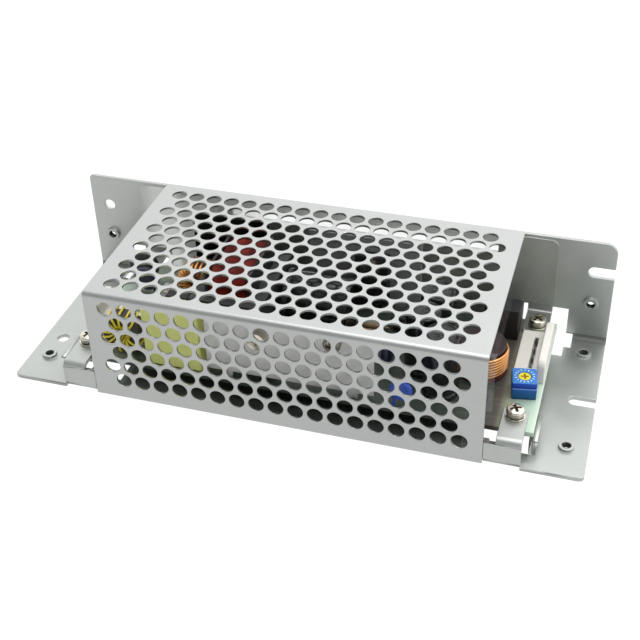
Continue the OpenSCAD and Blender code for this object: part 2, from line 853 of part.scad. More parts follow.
// Power package on three leads, with its rear face at y = 0
module power_package() {
  difference() {
    translate([-pack_w / 2, -pack_t, pack_foot]) cube([pack_w, pack_t, pack_h]);
    translate([0, through, pack_foot + pack_h - pack_hole_drop]) rotate([90, 0, 0])
      cylinder(d = pack_hole_d, h = pack_t + 2 * through);
    translate([-pack_w, -pack_t - through, pack_foot + pack_h - 2 * pack_hole_drop])
      cube([2 * pack_w, through + pack_t * 0.35, pack_h]);
  }
  for (i = [-1, 0, 1])
    translate([i * lead_pitch - lead_w / 2, -pack_t / 2 - lead_t / 2, 0])
      cube([lead_w, lead_t, pack_foot]);
}

// Height and places of the package screws
sink_screw_z = board_top + pack_foot + pack_h - pack_hole_drop;
sink_x = board_x(0.005);
switch_x = board_x(-0.12);
sink1_x = board_x(-0.476);
sink2_x = board_x(0.149);
rect_x = board_x(0.19);
sink_y1 = sink_y0 + sink_t;
sink2_y0 = sink2_y1 - sink_t;

module primary_heatsink() {
  color("lightgray") translate([sink_x, 0, 0]) sink_plate(sink_len, sink_y1, [switch_x - sink_x]);
}

module switch_transistor() {
  color("dimgray") translate([switch_x, sink_y1, board_top]) rotate([0, 0, 180]) power_package();
}

module input_heatsink() {
  color("dimgray") translate([sink1_x, 0, 0]) sink_plate(sink1_len, sink2_y1, []);
}

module secondary_heatsink() {
  color("dimgray") translate([sink2_x, 0, 0]) sink_plate(sink2_len, sink2_y1, [rect_x - sink2_x]);
}

module output_rectifier() {
  color("dimgray") translate([rect_x, sink2_y0, board_top]) power_package();
}

// Pan-head screw along +Y from its seat at y = 0
module sink_screw(grip) {
  rotate([-90, 0, 0]) cylinder(d = sink_screw_d - 2 * screw_gap, h = grip + nut_t);
  rotate([90, 0, 0]) difference() {
    cylinder(d = head_d, h = head_h);
    for (turn = [0, 90]) rotate([0, 0, turn])
      translate([-head_d / 4, -0.4, head_h - 0.8]) cube([head_d / 2, 0.8, through]);
  }
}

// Length clamped by a package screw
grip = sink_t + pack_t * 0.65;

module heatsink_screws() {
  color("lightgray") {
    translate([switch_x, sink_y0, sink_screw_z]) sink_screw(grip);
    translate([rect_x, sink2_y1, sink_screw_z]) rotate([0, 0, 180]) sink_screw(grip);
  }
}

// Hexagon nut from y = 0 towards +Y
module sink_nut() {
  rotate([-90, 0, 0]) difference() {
    cylinder(d = nut_d, h = nut_t, $fn = 6);
    translate([0, 0, -through]) cylinder(d = sink_screw_d, h = nut_t + 2 * through, $fn = 48);
  }
}

module heatsink_nuts() {
  color("silver") {
    translate([switch_x, sink_y0 + grip, sink_screw_z]) sink_nut();
    translate([rect_x, sink2_y1 - grip, sink_screw_z]) rotate([0, 0, 180]) sink_nut();
  }
}

// Transformer: the coil runs along X between the yokes
core_x = board_x(-0.318);
core_y = board_y(0.03);
window = core_len - 2 * core_yoke;
window_y = (core_side - centre_leg) / 2 - core_leg;
coil_y = centre_leg / 2 + window_y - coil_gap;
coil_z = (headroom - coil_room - bobbin_foot) / 2 - bobbin_t;
core_z = board_top + bobbin_foot + coil_z + bobbin_t;

module transformer_core() {
  color("dimgray") translate([core_x, core_y, core_z - core_t / 2]) linear_extrude(core_t)
    difference() {
      square([core_len, core_side], center = true);
      for (side = [-1, 1])
        translate([0, side * (centre_leg + window_y) / 2]) square([window, window_y], center = true);
    }
}

// Outline round the centre leg, drawn in Y and Z
module coil_ring(out_y, out_z, in_y, in_z, r) {
  difference() {
    rounded(2 * out_y, 2 * out_z, r);
    square([2 * in_y, 2 * in_z], center = true);
  }
}

module transformer_bobbin() {
  slack = 0.1;
  in_y = centre_leg / 2 + slack;
  in_z = core_t / 2 + slack;
  half = window / 2 - slack;
  foot_half = coil_y;
  rail = 2.4;
  color("darkslategray") translate([core_x, core_y, core_z]) {
    run_x(-half, half) coil_ring(in_y + bobbin_t - slack, in_z + bobbin_t - slack, in_y, in_z, slack);
    for (side = [-1, 1]) {
      a = side > 0 ? half - bobbin_t : -half;
      run_x(a, a + bobbin_t)
        coil_ring(coil_y, coil_z + bobbin_t, in_y, in_z, bobbin_t);
      rail_x = side > 0 ? half - rail : -half;
      translate([rail_x, -foot_half, board_top - core_z]) cube([rail, 2 * foot_half, bobbin_foot + 0.6]);
    }
  }
}

module transformer_winding() {
  half = window / 2 - bobbin_t - 0.2;
  room = 0.05;
  color("firebrick") translate([core_x, core_y, core_z]) run_x(-half, half)
    coil_ring(coil_y - 0.2, coil_z, centre_leg / 2 + bobbin_t + room, core_t / 2 + bobbin_t + room, 3);
}

module film_capacitor() {
  depth_y = film_len * 0.62;
  h = film_len * 1.02;
  color("dimgray") translate([board_x(0.776), board_y(0.67), board_top]) linear_extrude(h)
    rounded(film_len, depth_y, 0.5);
}

out_x = board_x(0.733);
out_choke_y = board_y(-0.065);
out_turns = floor(out_od * 0.5 / wire_d);
out_rim = 1;

// Drum core on end: a foot, a post and a head
module output_choke_core() {
  coil_h = out_turns * wire_d + 2 * wire_gap;
  color("brown") translate([out_x, out_choke_y, board_top]) rotate_extrude() {
    span([0, 0], [out_od / 2 - 0.4, out_rim]);
    span([0, 0], [out_od / 4, coil_h + 2 * out_rim]);
    span([0, out_rim + coil_h], [out_od / 2 - 0.8, coil_h + 2 * out_rim]);
  }
}

// Turns of round wire stacked between the rims
module output_choke_winding() {
  color("sandybrown") translate([out_x, out_choke_y, board_top + out_rim + wire_gap]) rotate_extrude() {
    span([out_od / 4 + wire_gap, 0], [out_od / 2 - wire_d / 2, out_turns * wire_d]);
    for (i = [0 : out_turns - 1])
      translate([out_od / 2 - wire_d / 2, (i + 0.5) * wire_d]) circle(d = wire_d);
  }
}

// Upright electrolytic capacitor with a crimp and a rolled top edge
module radial_can(d, h) {
  crimp = 0.35;
  rim = 0.5;
  difference() {
    rotate_extrude() {
      span([0, 0], [d / 2 - rim, h]);
      span([0, 0], [d / 2, h - rim]);
      translate([d / 2 - rim, h - rim]) circle(rim);
    }
    translate([0, 0, 2.2]) rotate_extrude() translate([d / 2, 0]) circle(crimp);
    translate([0, 0, h - 0.3]) cylinder(d = d - 4 * rim, h = through);
  }
}

module output_capacitors() {
  color("dimgray") for (at = [[0.528, 0.19], [0.602, -0.59], [0.498, -0.234]])
    translate([board_x(at[0]), board_y(at[1]), board_top]) radial_can(out_cap_d, out_cap_h);
}

module auxiliary_capacitor() {
  color("dimgray") translate([board_x(0.20), board_y(-0.55), board_top]) radial_can(aux_d, aux_h);
}

module disc_capacitor() {
  color("royalblue") translate([board_x(0.47), board_front + 1.2, board_top]) disc_part(disc_d, disc_d * 0.28, 2.4);
}

// Small chip on two rows of legs
module chip(len, pins) {
  w = 6.3;
  h = 3.2;
  lift = 0.6;
  translate([0, 0, lift]) linear_extrude(h) rounded(len, w, 0.3);
  for (side = [-1, 1], i = [0 : pins - 1])
    translate([(i - (pins - 1) / 2) * lead_pitch - lead_w / 2, side * (w / 2 + lead_t / 2) - lead_t / 2, 0])
      cube([lead_w, lead_t, lift + h / 2]);
}

module optocoupler() {
  color("ivory") translate([board_x(0.47), board_y(0.72), board_top]) chip(4.6, 2);
}

module control_chip() {
  color("dimgray") translate([board_x(0.06), board_y(-0.42), board_top]) chip(9.6, 4);
}

// Axial part along X that lies on the board
module axial(d, len, reach) {
  translate([0, 0, d / 2]) rotate([0, 90, 0]) cylinder(d = d, h = len, center = true);
  for (side = [-1, 1]) {
    translate([side * (len / 2 + reach / 2), 0, d / 2]) rotate([0, 90, 0])
      cylinder(d = lead_w * 0.8, h = reach, center = true);
    translate([side * (len / 2 + reach), 0, 0]) cylinder(d = lead_w * 0.8, h = d / 2);
  }
}

module resistors() {
  color("tan") {
    for (share = [0.20, 0.34])
      translate([board_x(0.24), board_y(share), board_top]) axial(2.2, resistor_len, 1.2);
    translate([board_x(-0.28), board_y(-0.62), board_top]) axial(2.4, resistor_len, 1.2);
  }
}

module diodes() {
  color("dimgray") for (share = [0.40, 0.54])
    translate([board_x(0.355), board_y(share), board_top]) axial(2.6, 4.6, 1.4);
}

chassis();
top_cover();
insulation_sheet();
circuit_board();
board_screws();
spring_washers();
flat_washers();
board_nuts();
cover_film();
output_connector();
output_pins();
input_connector();
input_pins();
trimmer_body();
trimmer_rotor();
fuse_tube();
fuse_caps();
fuse_clips();
thermistor();
varistor();
line_choke_core();
line_choke_winding();
x_capacitor();
y_capacitors();
filter_choke_core();
filter_choke_winding();
bridge_rectifier();
bulk_capacitor();
input_heatsink();
primary_heatsink();
switch_transistor();
secondary_heatsink();
output_rectifier();
heatsink_screws();
heatsink_nuts();
transformer_core();
transformer_bobbin();
transformer_winding();
film_capacitor();
output_choke_core();
output_choke_winding();
output_capacitors();
auxiliary_capacitor();
disc_capacitor();
optocoupler();
control_chip();
resistors();
diodes();
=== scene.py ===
# %% [markdown]
# # An enclosed power converter
# A zinc-plated chassis folded from one sheet, a perforated cover folded from another, and a
# circuit board between them that shows at both open ends and through the holes.
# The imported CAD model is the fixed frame: every piece below is placed from it, in metres.

# %% Load the frame
import json
import math

import bmesh
import bpy
from mathutils import Matrix, Vector


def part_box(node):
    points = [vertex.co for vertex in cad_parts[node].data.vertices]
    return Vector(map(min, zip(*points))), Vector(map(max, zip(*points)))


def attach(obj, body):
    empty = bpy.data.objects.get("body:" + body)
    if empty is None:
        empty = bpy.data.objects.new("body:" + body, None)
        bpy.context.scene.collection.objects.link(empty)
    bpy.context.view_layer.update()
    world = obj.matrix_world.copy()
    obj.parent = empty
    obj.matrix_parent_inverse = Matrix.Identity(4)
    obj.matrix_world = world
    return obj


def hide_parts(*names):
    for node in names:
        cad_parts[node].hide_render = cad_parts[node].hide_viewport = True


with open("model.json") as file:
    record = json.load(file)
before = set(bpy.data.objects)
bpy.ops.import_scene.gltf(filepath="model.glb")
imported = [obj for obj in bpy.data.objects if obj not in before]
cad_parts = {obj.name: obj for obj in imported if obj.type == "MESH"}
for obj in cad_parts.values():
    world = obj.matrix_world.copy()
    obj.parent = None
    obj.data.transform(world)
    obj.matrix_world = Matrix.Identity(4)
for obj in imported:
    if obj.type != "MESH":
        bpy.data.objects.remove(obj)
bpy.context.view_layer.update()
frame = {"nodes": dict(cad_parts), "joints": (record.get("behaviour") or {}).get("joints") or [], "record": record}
MM = 0.001
BODY = "converter"

# %% [markdown]
# ## Shader maths as Python
# A material is a tree of nodes, and writing each node by hand hides what it works out.
# `Value` wraps one output socket, so that `0.3 + 0.1 * grain` adds the Math nodes by itself.
# `Tree` makes any other node from a type, settings and inputs, and `Finish` is the tree of one material.


# %% Classes for sockets, trees and finishes
class Value:
    """An output socket that can stand in an expression."""

    def __init__(self, tree, socket):
        self.tree = tree
        self.socket = socket

    def maths(self, operation, first, second):
        return self.tree.node("ShaderNodeMath", {"operation": operation}, {0: first, 1: second})

    def __add__(self, other):
        return self.maths("ADD", self, other)

    def __radd__(self, other):
        return self.maths("ADD", other, self)

    def __sub__(self, other):
        return self.maths("SUBTRACT", self, other)

    def __rsub__(self, other):
        return self.maths("SUBTRACT", other, self)

    def __mul__(self, other):
        return self.maths("MULTIPLY", self, other)

    def __rmul__(self, other):
        return self.maths("MULTIPLY", other, self)

    def __gt__(self, other):
        return self.maths("GREATER_THAN", self, other)

    def __lt__(self, other):
        return self.maths("LESS_THAN", self, other)

    def __abs__(self):
        return self.maths("ABSOLUTE", self, 0.0)


class Tree:
    """A node tree whose sockets take numbers, colours or other sockets."""

    def __init__(self, tree):
        self.tree = tree

    def node(self, kind, settings=None, inputs=None, out=0):
        """Any node, from its type, its settings and its inputs."""
        made = self.tree.nodes.new(kind)
        for key, value in (settings or {}).items():
            setattr(made, key, value)
        for key, value in (inputs or {}).items():
            self.feed(made.inputs[key], value)
        return Value(self, made.outputs[out])

    def feed(self, socket, value):
        """Link a value to a socket, or set a constant on it."""
        if isinstance(value, Value):
            self.tree.links.new(value.socket, socket)
        elif socket.type == "RGBA" and len(value) == 3:
            socket.default_value = (*value, 1.0)
        else:
            socket.default_value = value

    def ramp(self, value, stops):
        """Colours over a value, from (position, colour) stops."""
        colours = self.node("ShaderNodeValToRGB", None, {0: value})
        elements = colours.socket.node.color_ramp.elements
        while len(elements) < len(stops):
            elements.new(1.0)
        for element, (position, colour) in zip(elements, stops):
            element.position = position
            element.color = (*colour, 1.0)
        return colours


class Finish(Tree):
    """One material: a Principled surface whose sockets take numbers or expressions."""

    def __init__(self, name, **sockets):
        self.material = bpy.data.materials.new(name)
        self.material.use_nodes = True
        super().__init__(self.material.node_tree)
        self.surface = self.tree.nodes["Principled BSDF"]
        self.place = self.node("ShaderNodeTexCoord", out="Object")
        self.set(**sockets)

    def set(self, **sockets):
        for name, value in sockets.items():
            self.feed(self.surface.inputs[name.replace("_", " ").title().replace("Ior", "IOR")], value)

    def stretched(self, x, y, z):
        """Object coordinates, counted in millimetres and stretched along each axis."""
        scale = (x / MM, y / MM, z / MM)
        return self.node("ShaderNodeMapping", None, {"Vector": self.place, "Scale": scale})

    def noise(self, size, detail=3.0, stretch=(1, 1, 1)):
        """Cloudy value from 0 to 1 with features of about `size` millimetres."""
        vector = self.stretched(*(s / size for s in stretch))
        return self.node("ShaderNodeTexNoise", None, {"Vector": vector, "Scale": 1.0, "Detail": detail})

    def axis(self, letter):
        """Object coordinate along X, Y or Z in millimetres."""
        place = self.stretched(1, 1, 1)
        return self.node("ShaderNodeSeparateXYZ", None, {0: place}, out="XYZ".index(letter))

    def fade(self, value, none, full):
        """0 where a value is at `none`, rising to 1 where it reaches `full`."""
        ends = {"From Min": none, "From Max": full, "To Min": 0.0, "To Max": 1.0}
        return self.node("ShaderNodeMapRange", None, {"Value": value, **ends})

    def along(self, letter, start, *stops):
        """Colours along an axis: each stop is (millimetres past `start`, colour)."""
        first = stops[0][0]
        span = stops[-1][0] - first
        share = (self.axis(letter) - (start + first)) * (1 / span)
        return self.ramp(share, [((place - first) / span, colour) for place, colour in stops])

    def mix(self, factor, first, second):
        """Blend of two colours."""
        return self.node("ShaderNodeMix", {"data_type": "RGBA"}, {0: factor, 6: first, 7: second}, out=2)

    def bump(self, height, depth, strength):
        """Relief `depth` millimetres deep, fed to the surface normal."""
        inputs = {"Strength": strength, "Distance": depth * MM, "Height": height}
        self.feed(self.surface.inputs["Normal"], self.node("ShaderNodeBump", None, inputs))


def shade(colour, factor):
    """The same colour, lighter or darker."""
    return tuple(min(1.0, v * factor) for v in colour)


print("shader helpers ready")

# %% [markdown]
# ## Zinc-plated sheet
# Bright zinc on cold-rolled steel is a satin metal: it mirrors the room, blurred, with a faint grain
# along the rolling direction, slow clouds in the plating and tiny bright flecks. A metallic surface with
# stretched noise in colour, roughness and relief gives that, and the reflections shade each wall.
# In the tight bend between the base and the back wall the plating is rougher, and its colour is darkened there as
# painted shade.

# %% Zinc finish
ZINC_ROUGHNESS = 0.40
BEND_REACH = 1.5
# Colour of the painted shade in the bend
BEND_SHADE_COLOUR = (0.05, 0.055, 0.05)
film_low, film_high = (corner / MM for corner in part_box("insulation_sheet"))
wall_inside, base_inside = film_high.y, film_low.z


def zinc_finish(name, tint, metallic, cloudy):
    """Satin plated sheet; `cloudy` is how strongly the plating drifts."""
    metal = Finish(name, metallic=metallic)
    near_wall = metal.axis("Y") > wall_inside - BEND_REACH
    near_base = metal.axis("Z") < base_inside + BEND_REACH
    bend = near_wall * near_base
    clouds = metal.noise(16.0)
    grain = metal.noise(0.45, 2.0, stretch=(0.10, 1, 1))
    fleck = metal.noise(0.7, 2.0)
    tone = cloudy * (clouds - 0.5) + 0.3 * grain + 0.3 * fleck + 0.2
    colour = metal.mix(tone, shade(tint, 0.88), shade(tint, 1.12))
    drift = 0.25 * cloudy * (clouds - 0.5) + 0.08 * (grain - 0.5)
    # Painted shade: the colour is darkened in the bend; the extra roughness there is the plating's own
    metal.set(base_color=metal.mix(0.4 * bend, colour, BEND_SHADE_COLOUR),
              roughness=ZINC_ROUGHNESS + drift + 0.35 * bend)
    metal.bump(0.3 * grain + 0.7 * fleck, 0.004, 0.25)
    return metal.material


zinc_chassis = zinc_finish("zinc_chassis", tint=(0.420, 0.436, 0.421), metallic=0.88, cloudy=1.0)
zinc_cover = zinc_finish("zinc_cover", tint=(0.420, 0.430, 0.422), metallic=1.0, cloudy=0.5)
print("zinc finishes:", zinc_chassis.name, zinc_cover.name, "dull past y",
      round(wall_inside - BEND_REACH, 2), "under z", round(base_inside + BEND_REACH, 2))

# %% [markdown]
# ## Finishes of the parts inside
# Mouldings, sleeves, lacquers and bare tin are all made from the same few ingredients: a colour that
# drifts slightly, a roughness that drifts with it, and fine relief. Three small makers cover them all.


# %% Moulded, plated and enamelled finishes
def moulded(name, colour, roughness, drift):
    """Plastic, lacquer or epoxy with a slight drift of colour and a fine grain."""
    plastic = Finish(name)
    slow = plastic.noise(5.0, 2.0)
    fine = plastic.noise(0.4, 2.0)
    plastic.set(base_color=plastic.mix(slow, shade(colour, 1 - drift), shade(colour, 1 + drift)),
                roughness=roughness + 0.12 * (fine - 0.5))
    plastic.bump(fine, 0.01, 0.4)
    return plastic.material


def plated(name, tint, roughness, drift=0.2):
    """Bright plated hardware or bare metal with a few dull patches."""
    metal = Finish(name, metallic=1.0)
    patch = metal.noise(1.2)
    metal.set(base_color=metal.mix(patch, shade(tint, 1 - drift), tint),
              roughness=roughness + 0.25 * (patch - 0.4))
    metal.bump(metal.noise(0.25, 2.0), 0.008, 0.3)
    return metal.material


def enamelled(name, tint):
    """Copper wire under clear enamel, warmer and darker from turn to turn."""
    wire = Finish(name, metallic=0.85, coat_weight=0.6, coat_roughness=0.08)
    warmth = wire.noise(2.5, 2.0)
    wire.set(base_color=wire.mix(warmth, shade(tint, 0.62), tint), roughness=0.24 + 0.12 * warmth)
    wire.bump(wire.noise(0.3, 2.0), 0.01, 0.3)
    return wire.material


# Colour, roughness and drift
mouldings = {
    "white_nylon": ((0.72, 0.70, 0.645), 0.45, 0.05),
    "black_epoxy": ((0.016, 0.016, 0.018), 0.50, 0.3),
    "black_sleeve": ((0.010, 0.010, 0.011), 0.16, 0.3),
    "rotor_yellow": ((0.68, 0.62, 0.020), 0.42, 0.08),
    "blue_ceramic": ((0.03, 0.09, 0.50), 0.28, 0.15),
    "ferrite": ((0.045, 0.044, 0.047), 0.50, 0.25),
    "yellow_wire": ((0.86, 0.72, 0.05), 0.30, 0.12),
    "yellow_box": ((0.80, 0.84, 0.27), 0.45, 0.06),
    "ivory_plastic": ((0.70, 0.66, 0.54), 0.45, 0.08),
    "tan_ceramic": ((0.30, 0.22, 0.12), 0.42, 0.1),
    "dark_aluminium": ((0.28, 0.278, 0.28), 0.50, 0.1),
}
metals = {
    "plated_screw": ((0.80, 0.75, 0.63), 0.22, 0.3),
    "tin": ((0.66, 0.66, 0.65), 0.28),
    "aluminium_plate": ((0.63, 0.63, 0.61), 0.38),
    "black_aluminium": ((0.014, 0.016, 0.015), 0.42),
}
looks = {name: moulded(name, *recipe) for name, recipe in mouldings.items()}
looks |= {name: plated(name, *recipe) for name, recipe in metals.items()}
looks["copper_wire"] = enamelled("copper_wire", (1.0, 0.46, 0.14))
looks["zinc_steel"] = zinc_chassis
print("finishes:", len(looks))

# %% [markdown]
# ## Board, trimmer and cores
# The board is green with slightly lighter tracks under the mask and a woven grain. Its colour runs along X:
# pale at its lit ends and dark inside, as painted light and painted shade. The coil is wrapped in dark red
# tape whose turns overlap. The trimmer's lid stands on a bright ledge, and the choke's core is darkest on
# top, as painted shade: both take their colours from the height above the board.

# %% Board, tape, trimmer, core and glass finishes
board_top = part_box("circuit_board")[1].z / MM


def board_finish():
    """Green mask over tracks and weave, pale at the ends and dark inside as painted light and shade."""
    board = Finish("board_green", specular_ior_level=0.35)
    tracks = board.noise(1.6, 1.0, stretch=(0.12, 1, 1)) > 0.58
    weave = board.noise(0.35, 1.0)
    # Painted light and shade: pale at the lit ends, dark inside where the board lies in shade
    painted_light_and_shade = board.along("X", 0.0,
                         (-70.0, (0.50, 0.60, 0.52)), (-61.6, (0.40, 0.48, 0.40)),
                         (-56.0, (0.30, 0.36, 0.30)), (-50.0, (0.18, 0.21, 0.18)),
                         (-45.9, (0.045, 0.062, 0.048)), (53.9, (0.040, 0.052, 0.042)),
                         (56.7, (0.075, 0.055, 0.050)), (58.95, (0.30, 0.32, 0.22)),
                         (61.0, (0.36, 0.43, 0.33)), (63.0, (0.38, 0.51, 0.41)),
                         (65.8, (0.46, 0.60, 0.48)), (67.1, (0.60, 0.70, 0.58)))
    board.set(base_color=board.mix(0.03 * tracks + 0.05 * weave, painted_light_and_shade, (0.62, 0.72, 0.60)),
              roughness=0.42 + 0.2 * (weave - 0.5))
    board.bump(0.7 * tracks + 0.3 * weave, 0.03, 0.4)
    return board.material


def tape_finish():
    """Overlapping turns of dark red tape."""
    tape = Finish("red_tape", specular_ior_level=0.12)
    waves = {"Vector": tape.stretched(1, 1, 1), "Scale": 0.09, "Distortion": 1.2, "Detail": 1.0}
    wraps = tape.node("ShaderNodeTexWave", {"bands_direction": "Z"}, waves)
    slow = tape.noise(3.0)
    tone = 0.3 * wraps + 1.1 * slow - 0.25
    tape.set(base_color=tape.mix(tone, (0.022, 0.002, 0.004), (0.33, 0.024, 0.010)),
             roughness=0.38 + 0.15 * slow)
    tape.bump(wraps, 0.12, 0.5)
    return tape.material


def trimmer_finish():
    """Blue moulding: a lid with a bright ledge under it, and a lower half that falls towards teal."""
    blue = Finish("trimmer_two_tone", specular_ior_level=0.4)
    ledge = (0.16, 0.33, 0.80)
    fine = blue.noise(0.5, 2.0)
    tone = blue.along("Z", board_top,
                      (0.0, (0.004, 0.075, 0.17)), (1.68, (0.005, 0.085, 0.27)),
                      (3.36, (0.006, 0.10, 0.40)), (3.47, ledge), (3.75, ledge),
                      (3.86, (0.003, 0.045, 0.40)), (5.40, (0.004, 0.055, 0.42)),
                      (5.515, (0.020, 0.165, 0.50)))
    blue.set(base_color=tone, roughness=0.30 + 0.15 * (fine - 0.5))
    blue.bump(fine, 0.008, 0.3)
    return blue.material


def core_finish():
    """Dark red powder core, darker upwards to almost black on top as painted shade."""
    core = Finish("red_core")
    slow = core.noise(3.0, 2.0)
    # Painted shade: the colour darkens towards the core's top
    tone = core.along("Z", board_top,
                      (0.0, (0.17, 0.016, 0.013)), (6.0, (0.09, 0.010, 0.009)),
                      (8.8, (0.022, 0.007, 0.007)))
    core.set(base_color=tone, roughness=0.35 + 0.2 * slow)
    core.bump(core.noise(0.4, 2.0), 0.01, 0.4)
    return core.material


def glass_finish():
    """The fuse's clear tube."""
    glass = Finish("fuse_glass", roughness=0.06, alpha=0.35)
    glass.set(base_color=glass.mix(glass.noise(3.0), (0.72, 0.78, 0.78), (0.82, 0.86, 0.86)))
    return glass.material


looks["board_green"] = board_finish()
looks["red_tape"] = tape_finish()
looks["fuse_glass"] = glass_finish()
looks["red_core"] = core_finish()
navy_dip = moulded("navy_dip", (0.018, 0.021, 0.055), 0.30, 0.15)
# Painted shade: the tin pins are darkened to match the shade in the connector's slot
shaded_pin = plated("shaded_pin", (0.13, 0.145, 0.165), 0.30)
print("finishes:", len(looks))

# %% [markdown]
# ## Films
# The films are clear but a little milky, so their alpha is low and a slow crinkle blurs their gloss; a cut
# edge gathers light, painted on as a pale colour: a painted highlight. The sheet on the back wall is clear at
# the output end. At the input end and along its upper edge it is milky, and there it is painted pale and
# glows by a little emission: painted light. Under the board its colour is darkened: painted shade.

# %% Film finishes
COVERED_FROM, COVERED_FULL = 56.0, 51.0
FRINGE = 5.0
GLOW_END_FROM, GLOW_END_FULL = -50.5, -53.5
PAINTED_PALE_FROM, PAINTED_PALE_FULL = -20.0, -44.0
TOP_FROM, TOP_FULL = 30.4, 31.2
UNDER_BOARD_Z, UNDER_BOARD_X = 3.0, 49.0
STRIP_OUT_X, STRIP_FRONT_Y = 55.2, -26.5
WALL_Y = 20.0


def edge_highlight_finish():
    """Cut edge of the wall sheet, drawn pale as a painted highlight, seen at the output end only."""
    film = Finish("film_edge_highlight", roughness=0.25)
    crinkle = film.noise(3.0, 2.0)
    seen = film.axis("X") > 0.0
    film.set(base_color=film.mix(crinkle, (0.60, 0.62, 0.59), (0.76, 0.78, 0.75)),
             alpha=seen * 0.75 * (0.7 + 0.6 * crinkle))
    film.bump(crinkle, 0.3, 0.30)
    return film.material


def strip_finish(name, low, high, clear, milky):
    """The cover's strip: milky under the cover and down the front, clear where its top edge looks out; its crinkle
    runs from dark to pale, the pale spots painted highlights.
    """
    film = Finish(name, roughness=0.14)
    crinkle = film.noise(2.2, 2.0)
    hidden = (film.axis("X") < STRIP_OUT_X) + (film.axis("Y") < STRIP_FRONT_Y)
    # Painted highlights: the crinkle's pale spots stand in for glints on the film
    film.set(base_color=film.mix(crinkle, low, high), alpha=clear + milky * hidden * crinkle)
    film.bump(crinkle, 0.4, 0.4)
    return film.material


def wall_film_finish():
    """The sheet under the board and on the back wall: painted light at its pale input end and glowing upper edge,
    painted shade under the board.
    """
    film = Finish("clear_film", roughness=0.18, emission_strength=1.0)
    crinkle = film.noise(9.0, 2.0)
    x, z = film.axis("X"), film.axis("Z")
    on_wall = film.axis("Y") > WALL_Y
    covered = film.fade(abs(x), COVERED_FROM, COVERED_FULL)
    fringe = film.fade(x, film_low.x, film_low.x + FRINGE)
    # Painted light: the film is drawn pale towards the open input end
    left = film.fade(x, PAINTED_PALE_FROM, PAINTED_PALE_FULL)
    painted_glow_end = on_wall * film.fade(x, GLOW_END_FROM, GLOW_END_FULL)
    milky_top_painted_glow = on_wall * covered * film.fade(z, TOP_FROM, TOP_FULL)
    under_board = (z < UNDER_BOARD_Z) * (abs(x) < UNDER_BOARD_X)
    clear = film.mix(crinkle, (0.34, 0.36, 0.31), (0.52, 0.54, 0.48))
    painted_pale = film.mix(left, clear, (0.86, 0.88, 0.86))
    # Painted shade: the film's colour is darkened under the board
    painted_shade_under_board = film.mix(under_board, painted_pale, (0.05, 0.06, 0.05))
    haze = 0.12 - 0.09 * on_wall * covered + 0.02 * under_board
    milk = 0.35 * milky_top_painted_glow * (1 - left) + on_wall * (0.03 + 0.08 * crinkle + 0.55 * left)
    # Painted light: emission makes the film glow at the input end and along its upper edge
    painted_glow = 0.44 * painted_glow_end + 0.20 * milky_top_painted_glow * (1 - 0.7 * left)
    film.set(base_color=film.mix(painted_glow_end, painted_shade_under_board, (0.06, 0.06, 0.06)),
             alpha=fringe * (haze + milk),
             emission_color=film.mix(painted_glow, (0.0, 0.0, 0.0), (0.97, 1.0, 0.97)))
    film.bump(crinkle, 0.4, 0.25)
    return film.material


looks["clear_film"] = wall_film_finish()
film_edge_highlight = edge_highlight_finish()
strip_film = strip_finish("strip_film", (0.06, 0.04, 0.05), (0.60, 0.57, 0.60), clear=0.02, milky=0.20)
# Painted highlight: the strip's cut edges are drawn pale
strip_edge_highlight = strip_finish("strip_edge_highlight", (0.30, 0.28, 0.30), (0.80, 0.78, 0.80), clear=0.08, milky=0.45)
print("film finishes:", film_edge_highlight.name, strip_film.name, strip_edge_highlight.name)

# %% [markdown]
# ## Dress the CAD nodes
# The record says which material slot each node belongs to, so one loop gives every node its finish.
# A few nodes have a finish of their own.

# %% Assign finishes to the nodes
slots = {subpart["node"]: subpart["material_slot"] for subpart in frame["record"]["subparts"]}
own_looks = {"top_cover": zinc_cover, "varistor": navy_dip, "y_capacitors": navy_dip,
             "trimmer_body": trimmer_finish(), "output_pins": shaded_pin}
for name, slot in slots.items():
    node = frame["nodes"][name]
    node.data.materials.clear()
    node.data.materials.append(own_looks.get(name) or looks[slot])
print("dressed:", len(slots))

# %% [markdown]
# ## Softened edges
# No real edge is perfectly sharp: a punched sheet has a slight burr side and a rolled side, and a moulding
# has a small radius. Each of these edges catches a thin line of light. The CAD mesh is copied, its
# doubled points are welded and a narrow bevel is baked in; the copy then stands for the node.

# %% Piece and bevel helpers
WELD = 1e-6
FLAT_DEGREES = 0.3
SHARP_DEGREES = 32


def add_piece(name, mesh, finish, *nodes, body=BODY, slot=None):
    """Link a mesh as a piece that rides on a body and stands for CAD nodes."""
    piece = bpy.data.objects.new(name, mesh)
    bpy.context.collection.objects.link(piece)
    if not mesh.materials:
        mesh.materials.append(finish)
    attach(piece, body)
    if nodes:
        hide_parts(*nodes)
    return piece


def welded(node):
    """The mesh of a CAD node as a bmesh with its doubled points joined."""
    bm = bmesh.new()
    bm.from_mesh(frame["nodes"][node].data)
    bmesh.ops.remove_doubles(bm, verts=bm.verts, dist=WELD)
    return bm


def mesh_of(name, bm, sharp=38):
    """Turn a bmesh into a mesh that is smooth except at edges sharper than `sharp` degrees."""
    mesh = bpy.data.meshes.new(name)
    bmesh.ops.recalc_face_normals(bm, faces=bm.faces)
    bm.to_mesh(mesh)
    bm.free()
    mesh.shade_smooth()
    mesh.set_sharp_from_angle(angle=math.radians(sharp))
    return mesh


def two_tone(mesh, main, second, test):
    """Give a mesh two finishes: the second one goes on the faces that pass the test."""
    mesh.materials.clear()
    mesh.materials.append(main)
    mesh.materials.append(second)
    for face in mesh.polygons:
        face.material_index = int(test(face))
    return mesh


